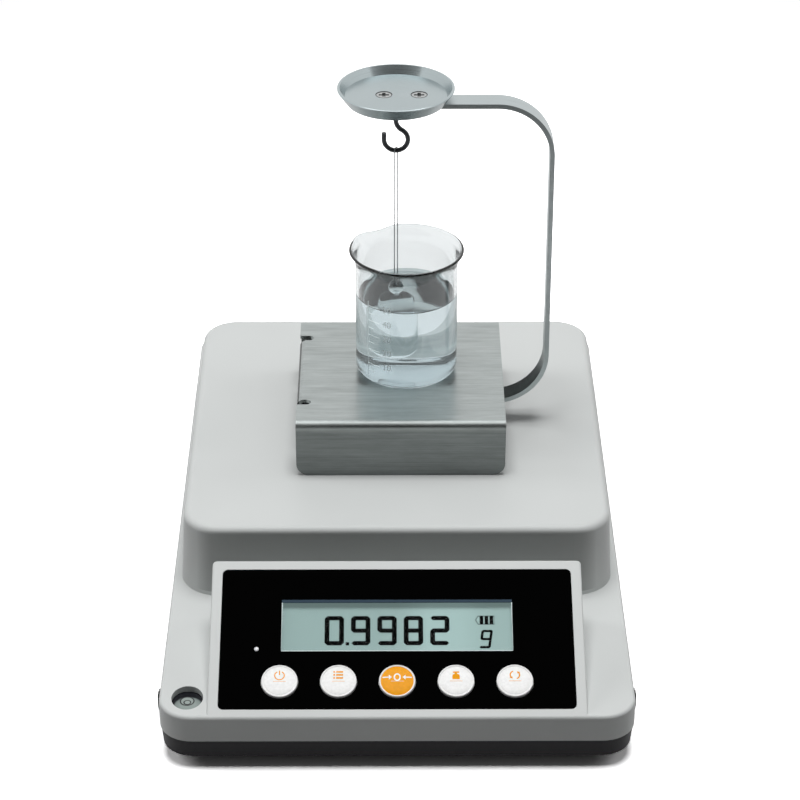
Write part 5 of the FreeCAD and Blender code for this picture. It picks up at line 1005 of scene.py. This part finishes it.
class METER_OT_build_glass(bpy.types.Operator):
    """Models the beaker with its rolled rim and marks, the liquid and the glass sinker"""
    bl_idname = "meter.build_glass"
    bl_label = "Build the glassware"

    # millimetres: the beaker's axis, foot and walls, its rolled rim and the bend round its floor
    X = 4.5
    Y = 18.9
    FOOT = 83.8
    WALL_R = 22.0
    WALL = 1.3
    FLOOR = 1.6
    RIM = 142.1
    RIM_R = 24.6
    BEAD_R = 0.62
    HEEL_R = 4.5
    # the pouring lip: how far down the wall it reaches and how far it dips
    SPOUT_HIGH = 12.0
    SPOUT_DIP = 0.5
    # (middle in degrees, half width in degrees, how far out) of the lip and of the pinch beside it
    SPOUT = ((148.0, 9.0, 1.1), (122.0, 15.0, -1.9))
    # the liquid runs this far into the glass and climbs this far up it
    OVERLAP = 0.03
    CREEP = 1.0
    # the volume marks: their upright line, the first mark above the foot, their depth and their numbers
    MARK_LINE_DEG = 222.0
    MARK_LINE_WIDTH = 0.32
    MARKS_START = 11.0
    MARK_SKIN = 0.05
    NUMBERS_DEG = 25.1
    NUMBER_SIZE = 4.1
    BOLDER = 0.07
    # the sinker's low and high end and radius, and its ring
    SINKER = (93.1, 118.1)
    SINKER_R = 8.0
    RING_R = 2.4
    RING_TUBE = 0.85
    RING_HEIGHT = 123.925

    def execute(self, context):
        glass = context.scene.meter_glass
        borosilicate = clear_glass("borosilicate_glass_blown", srgb("F3F7F8"), 1.474)
        self.beaker(borosilicate)
        self.liquid(glass.liquid_level / MM)
        self.marks(glass.tick_count, glass.tick_pitch / MM)
        self.sinker()
        self.sinker_ring(borosilicate)
        return {"FINISHED"}

    def at(self, radius, turn, height):
        """A point round the beaker's axis. Near the rim the wall is pinched in beside the pouring lip."""
        rise = max(0.0, (height - self.RIM + self.SPOUT_HIGH) / self.SPOUT_HIGH) ** 2
        dip = 0.0
        for middle, wide, out in self.SPOUT:
            away = (math.degrees(turn) - middle + 180) % 360 - 180
            push = math.exp(-(away / wide) ** 2) * rise
            radius += out * push
            dip = max(dip, self.SPOUT_DIP * push)
        return about(self.X, self.Y)(radius, turn, height - dip)

    def beaker(self, glass):
        """The wall with its rolled rim, from the middle of the foot outwards, up, over and down inside."""
        outer, inner = self.WALL_R, self.WALL_R - self.WALL
        drops = (7.8, 13, 26, 42)
        profile = [(0, self.FOOT + 0.9), (9, self.FOOT + 0.8), (13, self.FOOT + 0.35), (15.5, self.FOOT)]
        profile += arc_points(outer - self.HEEL_R, self.FOOT + self.HEEL_R, self.HEEL_R, -90, 0, 9)
        profile += [(outer, self.RIM - drop) for drop in drops[::-1]]
        profile += [(outer + out, self.RIM - drop) for out, drop in ((0.15, 5.6), (0.5, 3.8), (1.1, 2.2))]
        profile += arc_points(self.RIM_R - self.BEAD_R, self.RIM - self.BEAD_R, self.BEAD_R, -30, 205, 14)
        profile += [(inner + out, self.RIM - drop) for out, drop in ((1.2, 2.4), (0.5, 4.0), (0.1, 6.0))]
        profile += [(inner, self.RIM - drop) for drop in drops]
        profile += self.inner_floor(inner)[::-1]
        bm, _ = lathe(profile, self.at, 128)
        finish_piece("beaker_glass", bm, glass, "vessel", ("beaker",), 60.0)

    def inner_floor(self, radius):
        """Profile of the vessel's inside floor and heel, from the middle outwards."""
        floor = self.FOOT + self.FLOOR
        bend = self.HEEL_R - self.WALL
        heel = arc_points(radius - bend, floor + bend, bend, -84, 0, 8)
        return [(0, floor + 0.3), (12, floor + 0.1)] + heel

    def liquid(self, level):
        """Water, which creeps up the wall a little. It runs a hair into the glass, with no air between."""
        water = clear_glass("water", srgb("F0F6F8"), 1.325)
        wall = self.WALL_R - self.WALL + self.OVERLAP
        profile = [(radius, height - 0.02) for radius, height in self.inner_floor(wall)]
        profile += [(wall, 100), (wall, 115), (wall, level + self.CREEP)]
        profile += [(wall - step, level + self.CREEP * math.exp(-step / 0.55))
                    for step in (0.15, 0.35, 0.7, 1.2, 2.0, 3.2)]
        profile += [(8, level), (0, level)]
        bm, _ = lathe(profile, self.at)
        finish_piece("water", bm, water, "vessel", (), 60.0)

    def marks(self, count, pitch):
        """Volume marks etched in the wall: a line, ticks to its right and their numbers."""
        etched = etched_glass()
        first = self.FOOT + self.MARKS_START
        skin = self.WALL_R + 0.01
        tree = self.tick_tree()
        # (name, length in degrees, height of the lowest, thickness)
        for name, sweep, z, thick in (("beaker_long_marks", 16.4, first, 0.35),
                                      ("beaker_short_marks", 9.0, first - pitch / 2, 0.28)):
            mesh = grow(tree, name, bpy.data.meshes.new(name), {
                "Count": count, "Pitch": pitch * MM, "Radius": skin * MM,
                "Start": math.radians(self.MARK_LINE_DEG), "Sweep": math.radians(sweep),
                "Height": thick * MM, "Skin": self.MARK_SKIN * MM, "Material": etched})
            mesh.transform(Matrix.Translation(Vector((self.X, self.Y, z)) * MM))
            finish_piece(name, mesh, etched, "vessel")
        self.mark_line(first, first + pitch * (count - 1), skin, etched)
        self.numbers(count, first, pitch, skin, etched)

    def mark_line(self, first, last, skin, etched):
        """The upright line on the left of the marks."""
        bm = bmesh.new()
        turn = math.radians(self.MARK_LINE_DEG)
        half = self.MARK_LINE_WIDTH / 2 / self.WALL_R
        heights = (first - 6.0, 110.0, last + 2.0)
        strip(bm, [(turn - half, z) for z in heights], [(turn + half, z) for z in heights],
              lambda a, b: self.at(skin + self.MARK_SKIN, a, b), lambda a, b: self.at(skin - 0.005, a, b))
        finish_piece("beaker_mark_line", bm, etched, "vessel")

    def numbers(self, count, first, pitch, skin, etched):
        """The volume in millilitres beside each long mark."""
        numbers = bmesh.new()
        middle = math.radians(self.MARK_LINE_DEG + self.NUMBERS_DEG)
        for index in range(count):
            flat = digits_mesh(str(10 * (index + 1)), self.NUMBER_SIZE, self.BOLDER)
            for vertex in flat.vertices:
                vertex.co = self.at(skin + 0.03, middle + vertex.co.x / self.WALL_R,
                                    first + index * pitch + vertex.co.y)
            numbers.from_mesh(flat)
        finish_piece("beaker_numbers", numbers, etched, "vessel")

    def tick_tree(self):
        """Geometry Nodes: a stack of short marks bent round the wall."""
        tree, inputs = start_tree("volume_marks", ("Pitch", "Radius", "Start", "Sweep", "Height", "Skin"),
                                  (("Count", "NodeSocketInt"),))
        arc = add(tree, "GeometryNodeCurveArc", {
            "Resolution": 12, "Radius": inputs["Radius"], "Start Angle": inputs["Start"],
            "Sweep Angle": inputs["Sweep"]})
        section = add(tree, "GeometryNodeCurvePrimitiveQuadrilateral", {
            "Width": inputs["Height"], "Height": inputs["Skin"]})
        mark = add(tree, "GeometryNodeCurveToMesh", {
            "Curve": arc, "Profile Curve": section, "Fill Caps": True})
        step = add(tree, "ShaderNodeCombineXYZ", {"Z": inputs["Pitch"]})
        stack = add(tree, "GeometryNodeMeshLine", {"Count": inputs["Count"], "Offset": step})
        placed = add(tree, "GeometryNodeInstanceOnPoints", {"Points": stack, "Instance": mark})
        close_tree(tree, inputs, placed)
        return tree

    def sinker(self):
        """Closed, thin-walled glass bulb with a drawn neck. Filled and under water it hardly bends light, so
        its index is the small one that the eye sees."""
        low, high = self.SINKER
        profile = [(0, low), (2.2, low + 0.12)] + arc_points(3.0, low + 5.0, 5.0, -72, 0, 7)
        profile += [(self.SINKER_R, 104), (self.SINKER_R, high - 5.5)]
        profile += arc_points(3.2, high - 4.8, 4.8, 4, 66, 6)
        profile += [(radius, high + rise) for radius, rise in (
            (3.4, 0.1), (2.1, 0.8), (1.6, 1.8), (1.5, 2.8), (1.9, 3.6), (1.2, 4.1), (0, 4.2))]
        submerged = clear_glass("borosilicate_in_water", srgb("F4F8F9"), 1.04)
        bm, _ = lathe(profile, about(0.0, self.Y), 72)
        finish_piece("sinker_bulb", bm, submerged, "plummet", ("sinker",), 60.0)

    def sinker_ring(self, glass):
        """The eye at the sinker's top, which stands across the front: the outer half of a ring's tube, closed
        on both sides, so that its hole is filled."""
        def place(reach, turn, out):
            radius = self.RING_R + reach
            return Vector((radius * math.cos(turn), self.Y + out,
                           self.RING_HEIGHT + radius * math.sin(turn))) * MM
        bm, _ = lathe(arc_points(0, 0, self.RING_TUBE, -90, 90, 8), place, 56)
        finish_piece("sinker_ring", bm, glass, "plummet", (), 60.0)


class METER_OT_build_stage(bpy.types.Operator):
    """Sets the camera, the pale floor and the soft light"""
    bl_idname = "meter.build_stage"
    bl_label = "Build the stage"

    # metres and degrees
    CAMERA_AT = (-0.00302, -1.02762, 0.67260)
    CAMERA_DOWN = 30.042
    CAMERA_ASIDE = -0.262
    CAMERA_ROLL = 0.040
    # metres from the middle: the floor fades into the white background from here to there
    FADE_FROM = 0.3
    FADE_TO = 0.7
    # how much brighter the camera sees the floor than gloss and glass do
    FLOOR_TONE = 2.5
    LEAN = math.radians(62)

    def execute(self, context):
        stage = context.scene.meter_stage
        context.scene.view_settings.view_transform = "Standard"
        self.place_camera(context.scene, stage.lens)
        self.lay_floor(context.scene)
        self.hang_black_cards(context.scene)
        self.light_world(context.scene, stage.sky)
        self.hang_lamps(context.scene, stage)
        return {"FINISHED"}

    def place_camera(self, scene, lens):
        """The camera, which looks down at the front through a long lens."""
        data = bpy.data.cameras.new("camera")
        data.sensor_width = 36.0
        data.lens = lens
        camera = bpy.data.objects.new("camera", data)
        camera.location = self.CAMERA_AT
        level = Euler((math.radians(90 - self.CAMERA_DOWN), 0.0, math.radians(self.CAMERA_ASIDE))).to_matrix()
        rolled = level @ Matrix.Rotation(math.radians(self.CAMERA_ROLL), 3, "Z")
        camera.rotation_euler = rolled.to_euler()
        scene.collection.objects.link(camera)
        scene.camera = camera

    def lay_floor(self, scene):
        """The bench, as a large sheet of card."""
        bm = bmesh.new()
        bmesh.ops.create_grid(bm, x_segments=2, y_segments=2, size=4.0)
        mesh = bpy.data.meshes.new("floor")
        bm.to_mesh(mesh)
        bm.free()
        mesh.materials.append(self.card())
        floor = bpy.data.objects.new("floor", mesh)
        scene.collection.objects.link(floor)

    def card(self):
        """Matt card that throws little light back on the object, but looks pale and fades into white."""
        made, tree, shader = start_material("matt_card_floor", {
            "Base Color": srgb("8A8A8A"), "Roughness": 0.9})
        path = add(tree, "ShaderNodeLightPath")
        tone = add(tree, "ShaderNodeMapRange", {
            "Value": path.outputs["Is Camera Ray"], "To Min": 1.0, "To Max": self.FLOOR_TONE})
        pale = add(tree, "ShaderNodeBsdfDiffuse", {"Color": tone})
        white = add(tree, "ShaderNodeEmission", {"Color": srgb("FFFFFF")})
        place = add(tree, "ShaderNodeTexCoord").outputs["Object"]
        away = add(tree, "ShaderNodeVectorMath", {0: place}, operation="LENGTH").outputs["Value"]
        far = add(tree, "ShaderNodeMapRange", {
            "Value": away, "From Min": self.FADE_FROM, "From Max": self.FADE_TO})
        seen = add(tree, "ShaderNodeMixShader", {0: far, 1: pale, 2: white})
        whole = add(tree, "ShaderNodeMixShader", {0: self.seen_directly(tree, path), 1: shader, 2: seen})
        feed(tree.nodes["Material Output"], "Surface", whole)
        return made

    def hang_black_cards(self, scene):
        """Black felt behind the camera and on the bench before it. Only gloss shows it: it gives the steel
        its dark lines."""
        made, _, _ = start_material("black_felt", {"Base Color": srgb("1C1C1C"), "Roughness": 1.0})
        cards = (("black_card", ((-3, -2.2, 0.05), (3, -2.2, 0.05), (3, -1.9, 2.8), (-3, -1.9, 2.8))),
                 ("black_cloth", ((-3, -0.4, 0.001), (3, -0.4, 0.001), (3, -2.2, 0.001), (-3, -2.2, 0.001))))
        for name, corners in cards:
            mesh = bpy.data.meshes.new(name)
            mesh.from_pydata(corners, [], [(3, 2, 1, 0)])
            mesh.materials.append(made)
            card = bpy.data.objects.new(name, mesh)
            card.visible_camera = False
            card.visible_diffuse = False
            card.visible_shadow = False
            card.visible_transmission = False
            scene.collection.objects.link(card)

    def seen_directly(self, tree, path):
        """1 for what the camera, a gloss or clear glass shows, 0 for the light that falls on the object, also
        where that light comes through glass."""
        seen = path.outputs["Is Camera Ray"]
        for ray in ("Is Glossy Ray", "Is Transmission Ray"):
            seen = add(tree, "ShaderNodeMath", {0: seen, 1: path.outputs[ray]}, operation="MAXIMUM")
        depth = path.outputs["Diffuse Depth"]
        straight = add(tree, "ShaderNodeMath", {0: depth, 1: 0.5}, operation="LESS_THAN")
        return add(tree, "ShaderNodeMath", {0: seen, 1: straight}, operation="MULTIPLY")

    def light_world(self, scene, sky):
        """A background that looks white, but sheds only a little light."""
        world = bpy.data.worlds.new("studio")
        world.use_nodes = True
        scene.world = world
        tree = world.node_tree
        seen = self.seen_directly(tree, add(tree, "ShaderNodeLightPath"))
        background = tree.nodes["Background"]
        feed(background, "Color", srgb("FFFFFF"))
        feed(background, "Strength", add(tree, "ShaderNodeMapRange", {"Value": seen, "To Min": sky}))

    def hang_lamps(self, scene, stage):
        """Three soft boxes that gloss doesn't show, and a panel that only gloss does."""
        lamps = (("top_soft_box", (0.0, -0.05, 2.6), 0.0, (1.2, 1.2), stage.top),
                 ("left_soft_box", (-1.3, 0.2, 0.9), -self.LEAN, (0.7, 0.7), stage.left),
                 ("right_soft_box", (1.3, 0.2, 0.9), self.LEAN, (0.7, 0.7), stage.right),
                 ("gleam_panel", (0.0, 0.1, 2.55), 0.0, (3.0, 1.3), stage.gleam))
        for name, place, turn, size, power in lamps:
            data = bpy.data.lights.new(name, "AREA")
            data.shape = "RECTANGLE"
            data.size, data.size_y = size
            data.energy = power
            lamp = bpy.data.objects.new(name, data)
            lamp.location = place
            lamp.rotation_euler = (0.0, turn, 0.0)
            only_gloss = name == "gleam_panel"
            lamp.visible_diffuse = not only_gloss
            lamp.visible_glossy = only_gloss
            lamp.visible_transmission = False
            scene.collection.objects.link(lamp)


class METER_PT_sidebar(bpy.types.Panel):
    """Lists the steps that dress the density meter"""
    bl_label = "Density Meter"
    bl_idname = "METER_PT_sidebar"
    bl_space_type = "VIEW_3D"
    bl_region_type = "UI"
    bl_category = "Density Meter"

    def draw(self, context):
        for step in STEPS:
            self.layout.operator(step.bl_idname)
        for name, group in SETTINGS:
            box = self.layout.box()
            box.label(text=group.__doc__)
            for prop in group.__annotations__:
                box.prop(getattr(context.scene, "meter_" + name), prop)


STEPS = (METER_OT_finish_frame, METER_OT_build_keys, METER_OT_build_display, METER_OT_build_level,
         METER_OT_edge_tray_screws, METER_OT_build_glass, METER_OT_build_stage)
CLASSES = tuple(group for _, group in SETTINGS) + STEPS + (METER_PT_sidebar,)


def register():
    for one in CLASSES:
        bpy.utils.register_class(one)
    for name, group in SETTINGS:
        setattr(bpy.types.Scene, "meter_" + name, PointerProperty(type=group))


def unregister():
    for name, _ in SETTINGS:
        delattr(bpy.types.Scene, "meter_" + name)
    for one in reversed(CLASSES):
        bpy.utils.unregister_class(one)


def main():
    register()
    for step in STEPS:
        family, action = step.bl_idname.split(".")
        getattr(getattr(bpy.ops, family), action)()


if __name__ == "__main__":
    main()
